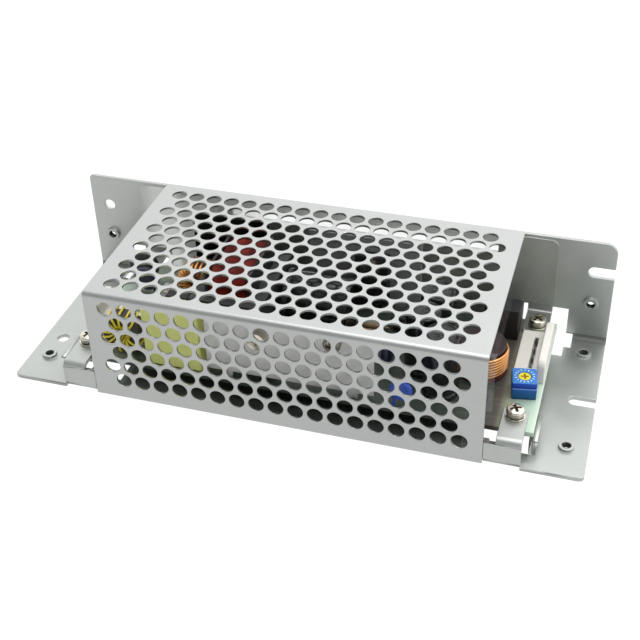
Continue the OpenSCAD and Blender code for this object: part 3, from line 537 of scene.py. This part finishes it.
def bevelled(mesh, width, segments):
    """The same mesh with its weighted edges rounded by `width` millimetres."""
    holder = bpy.data.objects.new("holder", mesh)
    bpy.context.collection.objects.link(holder)
    bevel = holder.modifiers.new("bevel", "BEVEL")
    bevel.width = width * MM
    bevel.segments = segments
    bevel.limit_method = "WEIGHT"
    bevel.use_clamp_overlap = False
    even = holder.modifiers.new("even", "WEIGHTED_NORMAL")
    even.mode = "FACE_AREA"
    even.weight = 100
    done = bpy.data.meshes.new_from_object(holder.evaluated_get(bpy.context.evaluated_depsgraph_get()))
    done.name = mesh.name
    bpy.data.objects.remove(holder)
    return done


def weigh_edges(bm, spared=None):
    """Mark the edges to round: the sharp ones with no end in a spared corner."""
    weight = bm.edges.layers.float.new("bevel_weight_edge")
    for edge in bm.edges:
        kept = spared and any(spared(vert.co / MM) for vert in edge.verts)
        if not kept and edge.calc_face_angle(0) > math.radians(SHARP_DEGREES):
            edge[weight] = 1.0


def soften(name, width, segments=2, spared=None):
    """A bevelled copy of a CAD node takes its place."""
    bm = welded(name)
    bmesh.ops.dissolve_limit(bm, angle_limit=math.radians(FLAT_DEGREES), verts=bm.verts, edges=bm.edges)
    weigh_edges(bm, spared)
    mesh = bevelled(mesh_of(name + "_soft", bm), width, segments)
    mesh.materials.clear()
    mesh.materials.append(frame["nodes"][name].data.materials[0])
    piece = add_piece(name + "_soft", mesh, None, name)
    print(f"{piece.name}: {len(mesh.polygons)} faces")


print("piece helpers ready")

# %% Soften the sheets and the mouldings
LIP_NEAR, LIP_FAR = 48, 70
LIP_BACK, LIP_TOP = -14, 7.7


def lip_corner(point):
    """The lanced lips and legs, whose tight bends keep their sheared edges."""
    return LIP_NEAR < abs(point.x) < LIP_FAR and point.y < LIP_BACK and point.z < LIP_TOP


soften("chassis", 0.16, spared=lip_corner)
soften("top_cover", 0.10, 1)
for name in ("output_connector", "input_connector", "film_capacitor", "x_capacitor", "transformer_core",
             "transformer_winding", "bridge_rectifier", "switch_transistor", "output_rectifier"):
    soften(name, 0.35, 3)
for name in ("primary_heatsink", "secondary_heatsink", "input_heatsink", "circuit_board"):
    soften(name, 0.12, 1)

# %% [markdown]
# ## Turned parts
# Screws, washers, cans and the threads of the tapped holes are all turned: one outline spun about an axis.
# A ring of points per outline point is enough, and a `dent` function can push points down afterwards,
# which is how the driver's cross is pressed into a screw head.

# %% Spin an outline
CROSS_BLEND = 0.14


def turn(bm, outline, centre, spokes, closed=False, dent=None, axis="Z"):
    """Spin (radius, height) points in millimetres about an axis through `centre`."""
    rings = []
    for radius, height in outline:
        ring = []
        for k in range(spokes if radius > 1e-6 else 1):
            a = 2 * math.pi * k / spokes
            x, y, z = radius * math.cos(a), radius * math.sin(a), height
            z -= dent(x, y, height) if dent else 0
            local = Vector({"X": (z, x, y), "Y": (x, -z, y), "Z": (x, y, z)}[axis])
            ring.append(bm.verts.new((Vector(centre) + local) * MM))
        rings.append(ring)
    pairs = list(zip(rings, rings[1:])) + ([(rings[-1], rings[0])] if closed else [])
    for low, high in pairs:
        for k in range(spokes):
            after = k + 1
            corners = [low[k % len(low)], low[after % len(low)],
                       high[after % len(high)], high[k % len(high)]]
            bm.faces.new(list(dict.fromkeys(corners)))


def cross_dent(reach, width, depth, top):
    """A driver's cross, pressed into everything above the height `top`."""
    def dent(x, y, z):
        if z < top:
            return 0
        x, y = abs(x), abs(y)
        outside = min(max(x - reach, y - width / 2), max(x - width / 2, y - reach))
        share = min(1.0, max(0.0, 0.5 - outside / CROSS_BLEND))
        return share * depth * (1 - 0.35 * math.hypot(x, y) / reach)
    return dent


def rotated(dent, angle):
    """The same dent, turned by an angle in radians."""
    c, s = math.cos(angle), math.sin(angle)
    return lambda x, y, z: dent(x * c - y * s, x * s + y * c, z)


def quarter(steps):
    """Angles of a quarter turn, both ends included."""
    return [math.pi / 2 * k / steps for k in range(steps + 1)]


def loose_boxes(node):
    """Middle and size in millimetres of each separate solid in a CAD node."""
    bm = welded(node)
    left = set(bm.verts)
    boxes = []
    while left:
        group, waiting = set(), [left.pop()]
        while waiting:
            vert = waiting.pop()
            group.add(vert)
            near = {edge.other_vert(vert) for edge in vert.link_edges} & left
            left -= near
            waiting += near
        axes = list(zip(*(vert.co / MM for vert in group)))
        low, high = Vector([min(a) for a in axes]), Vector([max(a) for a in axes])
        boxes.append(((low + high) / 2, high - low))
    bm.free()
    return boxes


def heights(node):
    """Foot and top of a CAD node in millimetres."""
    low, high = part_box(node)
    return low.z / MM, high.z / MM


print("turning helpers ready")

# %% [markdown]
# ## Board screws and washers
# Four M3 pan-head screws with a cross, each on a split spring washer and a flat washer, clamp the tabs
# to the board. The head is turned with a domed top and a pressed cross, and the shank has its thread as
# a zigzag outline. The spring washer is a bar bent round almost a full circle, its ends a little apart.

# %% Screws
HEAD_R, NECK_R = 2.42, 1.5
CROWN_R = 0.80 * HEAD_R
CROWN_DROP, CROWN_RINGS = 0.28, 26
CHAMFER = 0.12
THREAD_R, ROOT_R, THREAD_PITCH = 1.48, 1.20, 0.5
THREAD_BELOW_SEAT, THREAD_ABOVE_TIP = 2.6, 0.7
CROSS_REACH, CROSS_WIDTH, CROSS_DEPTH = 1.5, 0.66, 1.0
RECESS_R, RECESS_DEPTH = 1.7, 0.42
screw_places = sorted((round(middle.x, 2), round(middle.y, 2))
                      for middle, size in loose_boxes("flat_washers"))
tip, head_top = heights("board_screws")
spring_low, seat = heights("spring_washers")
# Painted shade: a darker copy of the screw plating, for the spring washers and the heatsink fastener
shaded_washer_plating = plated("shaded_washer_plating", (0.36, 0.34, 0.29), 0.26, 0.4)
recess_shade = plated("recess_shade", (0.10, 0.085, 0.06), 0.4, 0.3)


def crown(top, drop, rings):
    """The slightly domed top of a pan head, out to where its edge rounds over."""
    return [(CROWN_R * k / rings, top - drop * (k / rings) ** 2) for k in range(rings + 1)]


def screw_outline():
    """Domed head, flat seat, threaded shank and tip."""
    round_over = 0.42 * (head_top - seat)
    edge = [(CROWN_R + (HEAD_R - CROWN_R) * math.sin(a),
             head_top - CROWN_DROP - round_over * (1 - math.cos(a))) for a in quarter(6)[1:]]
    under = [(HEAD_R, seat + CHAMFER), (HEAD_R - CHAMFER, seat), (NECK_R, seat)]
    thread = []
    z = seat - THREAD_BELOW_SEAT
    while z > tip + THREAD_ABOVE_TIP:
        thread += [(THREAD_R, z), (ROOT_R, z - THREAD_PITCH / 2)]
        z -= THREAD_PITCH
    end = [(ROOT_R, tip + 0.3), (0.9, tip), (0, tip)]
    return crown(head_top, CROWN_DROP, CROWN_RINGS) + edge + under + thread + end


def in_recess(face):
    """Inside a driver's cross: near a screw's axis and below its dome."""
    centre = face.center / MM
    near = min(math.hypot(centre.x - x, centre.y - y) for x, y in screw_places)
    return near < RECESS_R and seat < centre.z < head_top - RECESS_DEPTH


bm = bmesh.new()
cross = cross_dent(CROSS_REACH, CROSS_WIDTH, CROSS_DEPTH, seat + 1.0)
for number, (x, y) in enumerate(screw_places):
    turn(bm, screw_outline(), (x, y, 0), 72, dent=rotated(cross, 0.5 + 1.1 * number))
mesh = two_tone(mesh_of("screws_turned", bm), looks["plated_screw"], recess_shade, in_recess)
add_piece("screws_turned", mesh, None, "board_screws")
print("screws:", len(screw_places), "heads from", round(seat, 2), "to", round(head_top, 2))


# %% Washers
def tube(bm, rings):
    """Skin rings of points one after another and close both ends."""
    sides = len(rings[0])
    for one, two in zip(rings, rings[1:]):
        for k in range(sides):
            bm.faces.new((one[k], one[(k + 1) % sides], two[(k + 1) % sides], two[k]))
    bm.faces.new(rings[0])
    bm.faces.new(rings[-1])


WASHER_BORE, WASHER_R, WASHER_EDGE = 1.7, 2.65, 0.1
flat_low, flat_high = heights("flat_washers")
washer_rim = WASHER_R - WASHER_EDGE
washer_outline = [(WASHER_BORE, flat_low), (washer_rim, flat_low), (WASHER_R, flat_low + WASHER_EDGE),
                  (WASHER_R, flat_high - WASHER_EDGE), (washer_rim, flat_high), (WASHER_BORE, flat_high)]
bm = bmesh.new()
for x, y in screw_places:
    turn(bm, washer_outline, (x, y, 0), 64, closed=True)
add_piece("flat_washers_turned", mesh_of("flat_washers_turned", bm), looks["plated_screw"], "flat_washers")

SPRING_STEPS = 60
SPRING_GAP, SPRING_RISE = 16, 0.18
FIRST_SPLIT, NEXT_SPLIT = -60, 75
spring_section = [(1.62, 0), (2.22, 0), (2.32, 0.1), (2.32, 0.40), (2.22, 0.5), (1.62, 0.5)]
bm = bmesh.new()
for number, (x, y) in enumerate(screw_places):
    rings = []
    for k in range(SPRING_STEPS + 1):
        share = k / SPRING_STEPS
        split = FIRST_SPLIT + NEXT_SPLIT * number
        a = math.radians(split + SPRING_GAP / 2 + (360 - SPRING_GAP) * share)
        foot = spring_low + SPRING_RISE * share
        rings.append([bm.verts.new(Vector((x + r * math.cos(a), y + r * math.sin(a), foot + h)) * MM)
                      for r, h in spring_section])
    tube(bm, rings)
add_piece("spring_washers_split", mesh_of("spring_washers_split", bm), shaded_washer_plating, "spring_washers")
print("washers from", round(flat_low, 2), "to", round(seat, 2))

# %% [markdown]
# ## A second fastener on the front heatsink
# Besides the transistor's screw, a pan-head screw near the middle of the pale plate shows through the
# front holes. Its head is turned on the plate's front face with the same pressed cross, as tall as the
# head of the transistor's screw.

# %% Heatsink fastener
FASTENER_X, FASTENER_Z = 12.9, 25.6
plate_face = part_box("primary_heatsink")[0].y / MM
fastener_tall = plate_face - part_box("heatsink_screws")[0].y / MM
flank = [(HEAD_R, fastener_tall * 0.55), (HEAD_R, CHAMFER), (HEAD_R - CHAMFER, 0), (0, 0)]
bm = bmesh.new()
turn(bm, crown(fastener_tall, 0.25, 20) + flank, (FASTENER_X, plate_face, FASTENER_Z), 64, axis="Y",
     dent=cross_dent(CROSS_REACH, 0.7, 0.9, fastener_tall * 0.7))
add_piece("heatsink_fastener", mesh_of("heatsink_fastener", bm), shaded_washer_plating, slot="plated_screw")
print("fastener head:", round(fastener_tall, 2), "tall on the plate at y", round(plate_face, 2))

# %% [markdown]
# ## Threads in the tapped holes
# The collars at the ears are drawn up from the sheet and tapped. Their bores look dark with fine
# rings, so each gets a thin threaded lining, turned from a zigzag outline inside the drilled hole and coloured
# near black as painted shade.
# The record's mounts say where the holes are and how wide.

# %% Threads
LINING_START, LINING_LENGTH, LINING_STEP = 0.05, 1.95, 0.25
CREST_R, GROOVE_R = 1.03, 1.22
# Painted shade: the lining's near-black colour darkens the bores
shaded_thread_steel = plated("shaded_thread_steel", (0.07, 0.072, 0.07), 0.30, 0.4)
mounts = {mount["name"]: mount for mount in frame["record"]["mounts"]}


def lining_outline(bore):
    """Plain outside in the bore, zigzag inside."""
    end = LINING_START + LINING_LENGTH
    outside = [(bore, LINING_START), (bore, end)]
    zigzag = [(GROOVE_R if k % 2 else CREST_R, end - 0.05 - LINING_STEP * k)
              for k in range(int(LINING_LENGTH / LINING_STEP))]
    return outside + zigzag


def tapped_places(mount):
    """Middles of a mount's holes in millimetres: columns along X, rows along Y where there are any."""
    middle = Vector(mount["pos_m"]) / MM
    half_x = mount["dims"]["spacing_x_mm"] / 2
    half_y = mount["dims"].get("spacing_y_mm", 0) / 2
    rows = (-half_y, half_y) if half_y else (0,)
    return [middle + Vector((side * half_x, row, 0)) for side in (-1, 1) for row in rows]


bm = bmesh.new()
holes = 0
for mount_name, axis in (("base_tapped", "Z"), ("back_tapped", "Y")):
    mount = mounts[mount_name]
    for place in tapped_places(mount):
        turn(bm, lining_outline(mount["dims"]["hole_r_mm"]), place, 40, closed=True, axis=axis)
        holes += 1
add_piece("tap_threads", mesh_of("tap_threads", bm, 20), shaded_thread_steel, slot="zinc_steel")
print("threaded holes:", holes)

# %% [markdown]
# ## Trimmer
# A square blue potentiometer with a yellow rotor. The body keeps its CAD shape with rounded edges; round
# the rotor it carries a printed scale of short light marks. The rotor is turned, with a cross slot whose
# floor is a deeper orange as painted shade, and it rides on its own body because it is the one thing that moves.

# %% Trimmer body and scale
SCALE_MARKS, SCALE_R = 16, 2.5
MARK_LONG, MARK_SHORT, MARK_WIDE, MARK_TALL = 0.62, 0.42, 0.30, 0.03
soften("trimmer_body", 0.22, 3)
trim_x, trim_y = (v / MM for v in frame["joints"][0]["pos_m"][:2])
body_top = heights("trimmer_body")[1]
scale_ink = moulded("scale_ink", (0.55, 0.70, 0.86), 0.5, 0.1)
bm = bmesh.new()
for k in range(SCALE_MARKS):
    a = 2 * math.pi * (k + 0.3) / SCALE_MARKS
    long = MARK_LONG if k % 2 else MARK_SHORT
    spot = Vector((trim_x + SCALE_R * math.cos(a), trim_y + SCALE_R * math.sin(a), body_top + 0.005)) * MM
    size = Matrix.Diagonal((long * MM, MARK_WIDE * MM, MARK_TALL * MM, 1))
    spun = Matrix.Translation(spot) @ Matrix.Rotation(a, 4, "Z")
    bmesh.ops.create_cube(bm, size=1.0, matrix=spun @ size)
weigh_edges(bm)
mesh = bevelled(mesh_of("trimmer_scale", bm), 0.008, 1)
add_piece("trimmer_scale", mesh, scale_ink, slot="trimmer_blue")
print("scale marks:", SCALE_MARKS)

# %% Trimmer rotor
SLOT_TURN = math.radians(-12)
SLOT_REACH, SLOT_WIDTH, SLOT_DEPTH = 1.05, 0.46, 0.6
ROTOR_FLAT, ROTOR_RINGS = 0.92, 24
rotor_low, rotor_high = heights("trimmer_rotor")
rotor_r = 0.5 * (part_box("trimmer_rotor")[1].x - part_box("trimmer_rotor")[0].x) / MM
# Painted shade: the slot floor is a darker, warmer copy of the rotor's yellow
slot_shade_orange = moulded("slot_shade_orange", (0.42, 0.17, 0.010), 0.5, 0.15)


def in_slot(face):
    """Inside the rotor's cross slot: below its top and away from its side."""
    centre = face.center / MM
    inside = math.hypot(centre.x - trim_x, centre.y - trim_y) < rotor_r * 0.9
    return inside and rotor_low + 0.2 < centre.z < rotor_high - 0.15


rotor_top = [(rotor_r * ROTOR_FLAT * k / ROTOR_RINGS, rotor_high) for k in range(ROTOR_RINGS + 1)]
rotor_side = [(rotor_r, rotor_high - CHAMFER), (rotor_r, rotor_low), (0, rotor_low)]
rotor_cross = cross_dent(SLOT_REACH, SLOT_WIDTH, SLOT_DEPTH, rotor_high - 0.05)
bm = bmesh.new()
turn(bm, rotor_top + rotor_side, (trim_x, trim_y, 0), 64, dent=rotated(rotor_cross, SLOT_TURN))
mesh = two_tone(mesh_of("rotor_turned", bm), looks["rotor_yellow"], slot_shade_orange, in_slot)
add_piece("rotor_turned", mesh, None, "trimmer_rotor", body="rotor")
print("rotor at", round(trim_x, 2), round(trim_y, 2))

# %% [markdown]
# ## Wire windings
# The chokes are wound with round enamelled wire, and the light runs along each turn separately.
# A tube is swept along the wire's path: a plain helix on the drum, and a path round the ring's square
# section on the toroids. Sweeping a tube keeps each turn round and the gaps between turns dark.


# %% Sweep a tube
def sweep(bm, path, radius, sides):
    """Round tube of `radius` millimetres along points in millimetres."""
    rings = []
    points = [Vector(p) for p in path]
    across = None
    for k, point in enumerate(points):
        ahead = (points[min(k + 1, len(points) - 1)] - points[max(k - 1, 0)]).normalized()
        if across is None:
            across = ahead.orthogonal().normalized()
        across = (across - ahead * across.dot(ahead)).normalized()
        up = ahead.cross(across)
        rings.append([bm.verts.new((point + radius * (across * math.cos(a) + up * math.sin(a))) * MM)
                      for a in (2 * math.pi * j / sides for j in range(sides))])
    tube(bm, rings)


def node_box(name):
    """Middle and size of a CAD node in millimetres."""
    low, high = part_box(name)
    return (low + high) / 2 / MM, (high - low) / MM


print("winding helpers ready")

# %% Drum winding
DRUM_TURNS, DRUM_WIRE, DRUM_STEPS = 7, 0.36, 48
middle, size = node_box("output_choke_winding")
rise = size.z - 2 * DRUM_WIRE
path = []
for k in range(DRUM_TURNS * DRUM_STEPS + 1):
    a = 2 * math.pi * k / DRUM_STEPS
    path.append((middle.x + (size.x / 2 - DRUM_WIRE) * math.cos(a),
                 middle.y + (size.y / 2 - DRUM_WIRE) * math.sin(a),
                 middle.z - rise / 2 + rise * k / (DRUM_TURNS * DRUM_STEPS)))
bm = bmesh.new()
sweep(bm, path, DRUM_WIRE, 12)
add_piece("drum_winding", mesh_of("drum_winding", bm, 60), looks["copper_wire"], "output_choke_winding")
print("drum turns:", DRUM_TURNS)

# %% Ring windings
RING_STEPS = 28
RING_INNER = 0.52
CORNER_POWER = 0.45


def squared(value):
    """A sine or cosine pushed towards its ends, so that a circle becomes a rounded square."""
    return math.copysign(abs(value) ** CORNER_POWER, value)


def ring_winding(name, node, core, turns, fill, finish, gauge=1.0):
    """Wire round a toroid that stands on edge with its axis along Y."""
    core_middle, core_size = node_box(core)
    wire = (node_box(node)[1].y - core_size.y) / 4
    outer = core_size.x / 2
    inner = outer * RING_INNER
    path = []
    for k in range(turns * RING_STEPS + 1):
        around = math.radians(-90 - 180 * fill) + 2 * math.pi * fill * k / (turns * RING_STEPS)
        a = 2 * math.pi * k / RING_STEPS
        radial = (outer + inner) / 2 + squared(math.cos(a)) * ((outer - inner) / 2 + wire)
        axial = squared(math.sin(a)) * (core_size.y / 2 + wire)
        path.append((core_middle.x + radial * math.sin(around), core_middle.y + axial,
                     core_middle.z - radial * math.cos(around)))
    bm = bmesh.new()
    sweep(bm, path, min(wire * 0.98, gauge), 8)
    add_piece(name, mesh_of(name, bm, 60), finish, node)
    print(name, "turns:", turns, "wire:", round(2 * wire, 2))


ring_winding("filter_winding", "filter_choke_winding", "filter_choke_core", 24, 0.86, looks["copper_wire"])
ring_winding("line_winding", "line_choke_winding", "line_choke_core", 14, 0.84, looks["yellow_wire"], 0.34)
for name in ("filter_choke_core", "line_choke_core", "output_choke_core"):
    soften(name, 0.30, 2)

# %% [markdown]
# ## Capacitor cans
# Each can is an aluminium cup in a black shrink sleeve: the sleeve folds over the top edge and leaves a
# disc with a pressed vent, darkened as painted shade, and a groove near the foot holds the rubber plug. They are
# turned from one outline, and their places and sizes come from the separate solids of the CAD nodes.

# %% Turned cans
SHOULDER_R = 0.55
SLEEVE_FOLD, DISC_EDGE = 1.05, 1.15
DISC_DEEP, DISC_RINGS = 0.14, 18
DISC_ZONE = 0.5
LEAST_CAN = 3
# Painted shade: the aluminium top discs are darkened to near black
shaded_can_top = plated("shaded_can_top", (0.09, 0.09, 0.093), 0.25)


def can_outline(r, tall):
    """Foot, plug groove, wall, folded sleeve edge and the recessed disc."""
    foot = [(0, 0), (r - 0.5, 0), (r - 0.12, 0.15), (r, 0.5)]
    groove = [(r, 1.5), (r - 0.2, 1.75), (r - 0.38, 2.1), (r - 0.2, 2.45), (r, 2.7)]
    shoulder = [(r - SHOULDER_R + SHOULDER_R * math.cos(a), tall - SHOULDER_R + SHOULDER_R * math.sin(a))
                for a in quarter(6)]
    disc = [((r - DISC_EDGE) * (1 - k / DISC_RINGS), tall - DISC_DEEP) for k in range(DISC_RINGS + 1)]
    return foot + groove + shoulder + [(r - SLEEVE_FOLD, tall)] + disc


def turned_cans(node, axis):
    """Cans of a CAD node, standing or lying along an axis, in place of the node."""
    bm = bmesh.new()
    boxes = [(middle, size) for middle, size in loose_boxes(node) if min(size) > LEAST_CAN]
    lay = "XYZ".index(axis)
    for middle, size in boxes:
        r, tall = size[(lay + 1) % 3] / 2, size[lay]
        foot = Vector(middle)
        foot[lay] -= tall / 2
        vent = cross_dent(r * 0.62, 0.3, 0.10, tall - 0.2)
        turn(bm, can_outline(r, tall), foot, 64, axis=axis,
             dent=lambda u, v, h: vent(u, v, h) if h < tall else 0)

    def on_disc(face):
        """On the bare disc that the sleeve leaves at a can's top."""
        for middle, size in boxes:
            off = face.center / MM - middle
            rim = size[(lay + 1) % 3] / 2 - (SLEEVE_FOLD + DISC_EDGE) / 2
            if off[lay] > size[lay] / 2 - DISC_ZONE and math.hypot(off[lay - 1], off[lay - 2]) < rim:
                return True
        return False

    mesh = two_tone(mesh_of(node + "_turned", bm, 50), looks["black_sleeve"], shaded_can_top, on_disc)
    add_piece(node + "_turned", mesh, None, node)
    print(node, "cans:", len(boxes))


turned_cans("output_capacitors", "Z")
turned_cans("auxiliary_capacitor", "Z")
turned_cans("bulk_capacitor", "X")
for name in ("varistor", "thermistor"):
    soften(name, 0.20, 2)

# %% [markdown]
# ## Clear films
# A clear sheet insulates the board from the back wall, and a narrow clear strip lines the cover's end.
# Only their thin cut edges gather light, which is painted on as a pale colour. So the faces of each film are
# sorted
# by the way they point: the broad ones stay clear and the narrow ones get the pale edge finish, a painted
# highlight.

# %% Films with pale edges
FILM_AIR = 0.03
TOP_RIM_Z = 33


def on_rim(face):
    """A film's end, or its upper edge on the back wall."""
    centre = face.center / MM
    upper = abs(face.normal.z) > 0.7 and centre.z > TOP_RIM_Z and centre.y > WALL_Y
    return abs(face.normal.x) > 0.7 or upper


def film_piece(node, finish, edge, backing):
    """`backing` points from the sheet behind the film into the room, to leave a hair of air there."""
    bm = welded(node)
    for vert in bm.verts:
        vert.co += backing * (FILM_AIR * MM)
    # The rim faces get the pale edge finish: a painted highlight
    mesh = two_tone(mesh_of(node + "_clear", bm), finish, edge, on_rim)
    add_piece(node + "_clear", mesh, None, node)
    print(node, "faces on the rim:", sum(face.material_index for face in mesh.polygons))


film_piece("insulation_sheet", looks["clear_film"], film_edge_highlight, Vector((0, -1, 1)))
film_piece("cover_film", strip_film, strip_edge_highlight, Vector((0, 1, -1)))

# %% [markdown]
# ## Floor, light and camera
# The product stands on a plain white sweep that gives off light itself, so its shadow is only a hint.
# The world is bright behind the product and dimmer behind the camera: a satin metal top then mirrors
# the bright side, and the walls that mirror the dim side fall darker, as in a light tent.

# %% Floor
FLOOR_SIZE, FLOOR_DROP = 6.0, 0.0002


def white_floor():
    """Plain sweep under the part, a hair below it."""
    bpy.ops.mesh.primitive_plane_add(size=FLOOR_SIZE, location=(0, 0, -FLOOR_DROP))
    floor = bpy.context.object
    floor.name = "floor"
    paper = Finish("floor_paper", roughness=0.9)
    paper.set(base_color=paper.mix(paper.noise(60.0), (0.05, 0.05, 0.05), (0.06, 0.06, 0.06)),
              emission_color=(1.0, 1.0, 1.0), emission_strength=1.0)
    floor.data.materials.append(paper.material)


white_floor()
print("floor:", FLOOR_SIZE, "m wide")

# %% World
SKY_SLOPE = (0.16, 0.48, 0.0)
SKY_DIM, SKY_BRIGHT = (0.30, 0.31, 0.31), (1.0, 1.0, 1.0)
SKY_STRENGTH = 1.72
world = bpy.data.worlds.new("studio")
bpy.context.scene.world = world
world.use_nodes = True
sky = Tree(world.node_tree)
backdrop = world.node_tree.nodes["Background"]
towards = sky.node("ShaderNodeTexCoord", out="Generated")
slope = sky.node("ShaderNodeVectorMath", {"operation": "DOT_PRODUCT"},
                 {0: towards, 1: SKY_SLOPE}, out="Value")
sky.feed(backdrop.inputs["Color"], sky.ramp(slope + 0.5, [(0.25, SKY_DIM), (0.88, SKY_BRIGHT)]))
sky.feed(backdrop.inputs["Strength"], SKY_STRENGTH)
print("sky strength:", SKY_STRENGTH)


# %% Lamps
def softbox(name, place, aim, size, power):
    """Area lamp that looks at a point."""
    lamp = bpy.data.lights.new(name, "AREA")
    lamp.shape = "RECTANGLE"
    lamp.size, lamp.size_y = size
    lamp.energy = power
    body = bpy.data.objects.new(name, lamp)
    body.location = place
    body.rotation_euler = (Vector(aim) - Vector(place)).to_track_quat("-Z", "Y").to_euler()
    bpy.context.collection.objects.link(body)


softbox("overhead", (0.10, 0.05, 0.75), (0, 0, 0.02), (0.70, 0.60), 3.4)
softbox("end_fill", (0.70, -0.25, 0.40), (0.06, 0, 0.01), (0.20, 0.20), 0.5)

# %% Camera
EYE = (84.91, -255.57, 215.94)
AZIMUTH, ELEVATION, ROLL = 18.07, 34.107, -1.9475
SENSOR, LENS = 36.0, 65.85
SHIFT_X, SHIFT_Y = 0.0078, -0.0859


def photo_camera():
    """Camera at the photo's view: it looks along the azimuth and down, with a slight roll."""
    azimuth, elevation, roll = (math.radians(v) for v in (AZIMUTH, ELEVATION, ROLL))
    forward = Vector((-math.sin(azimuth) * math.cos(elevation),
                      math.cos(azimuth) * math.cos(elevation), -math.sin(elevation)))
    level = forward.cross(Vector((0, 0, 1))).normalized()
    upright = level.cross(forward)
    right = level * math.cos(roll) + upright * math.sin(roll)
    up = right.cross(forward)
    data = bpy.data.cameras.new("camera")
    data.sensor_width = SENSOR
    data.lens = LENS
    data.shift_x, data.shift_y = SHIFT_X, SHIFT_Y
    data.clip_start = 0.01
    camera = bpy.data.objects.new("camera", data)
    camera.matrix_world = Matrix((right, up, -forward)).transposed().to_4x4()
    camera.location = Vector(EYE) * MM
    bpy.context.collection.objects.link(camera)
    bpy.context.scene.camera = camera
    return camera


camera = photo_camera()
bpy.context.scene.view_settings.view_transform = "Standard"
print("camera at", [round(v, 4) for v in camera.location])
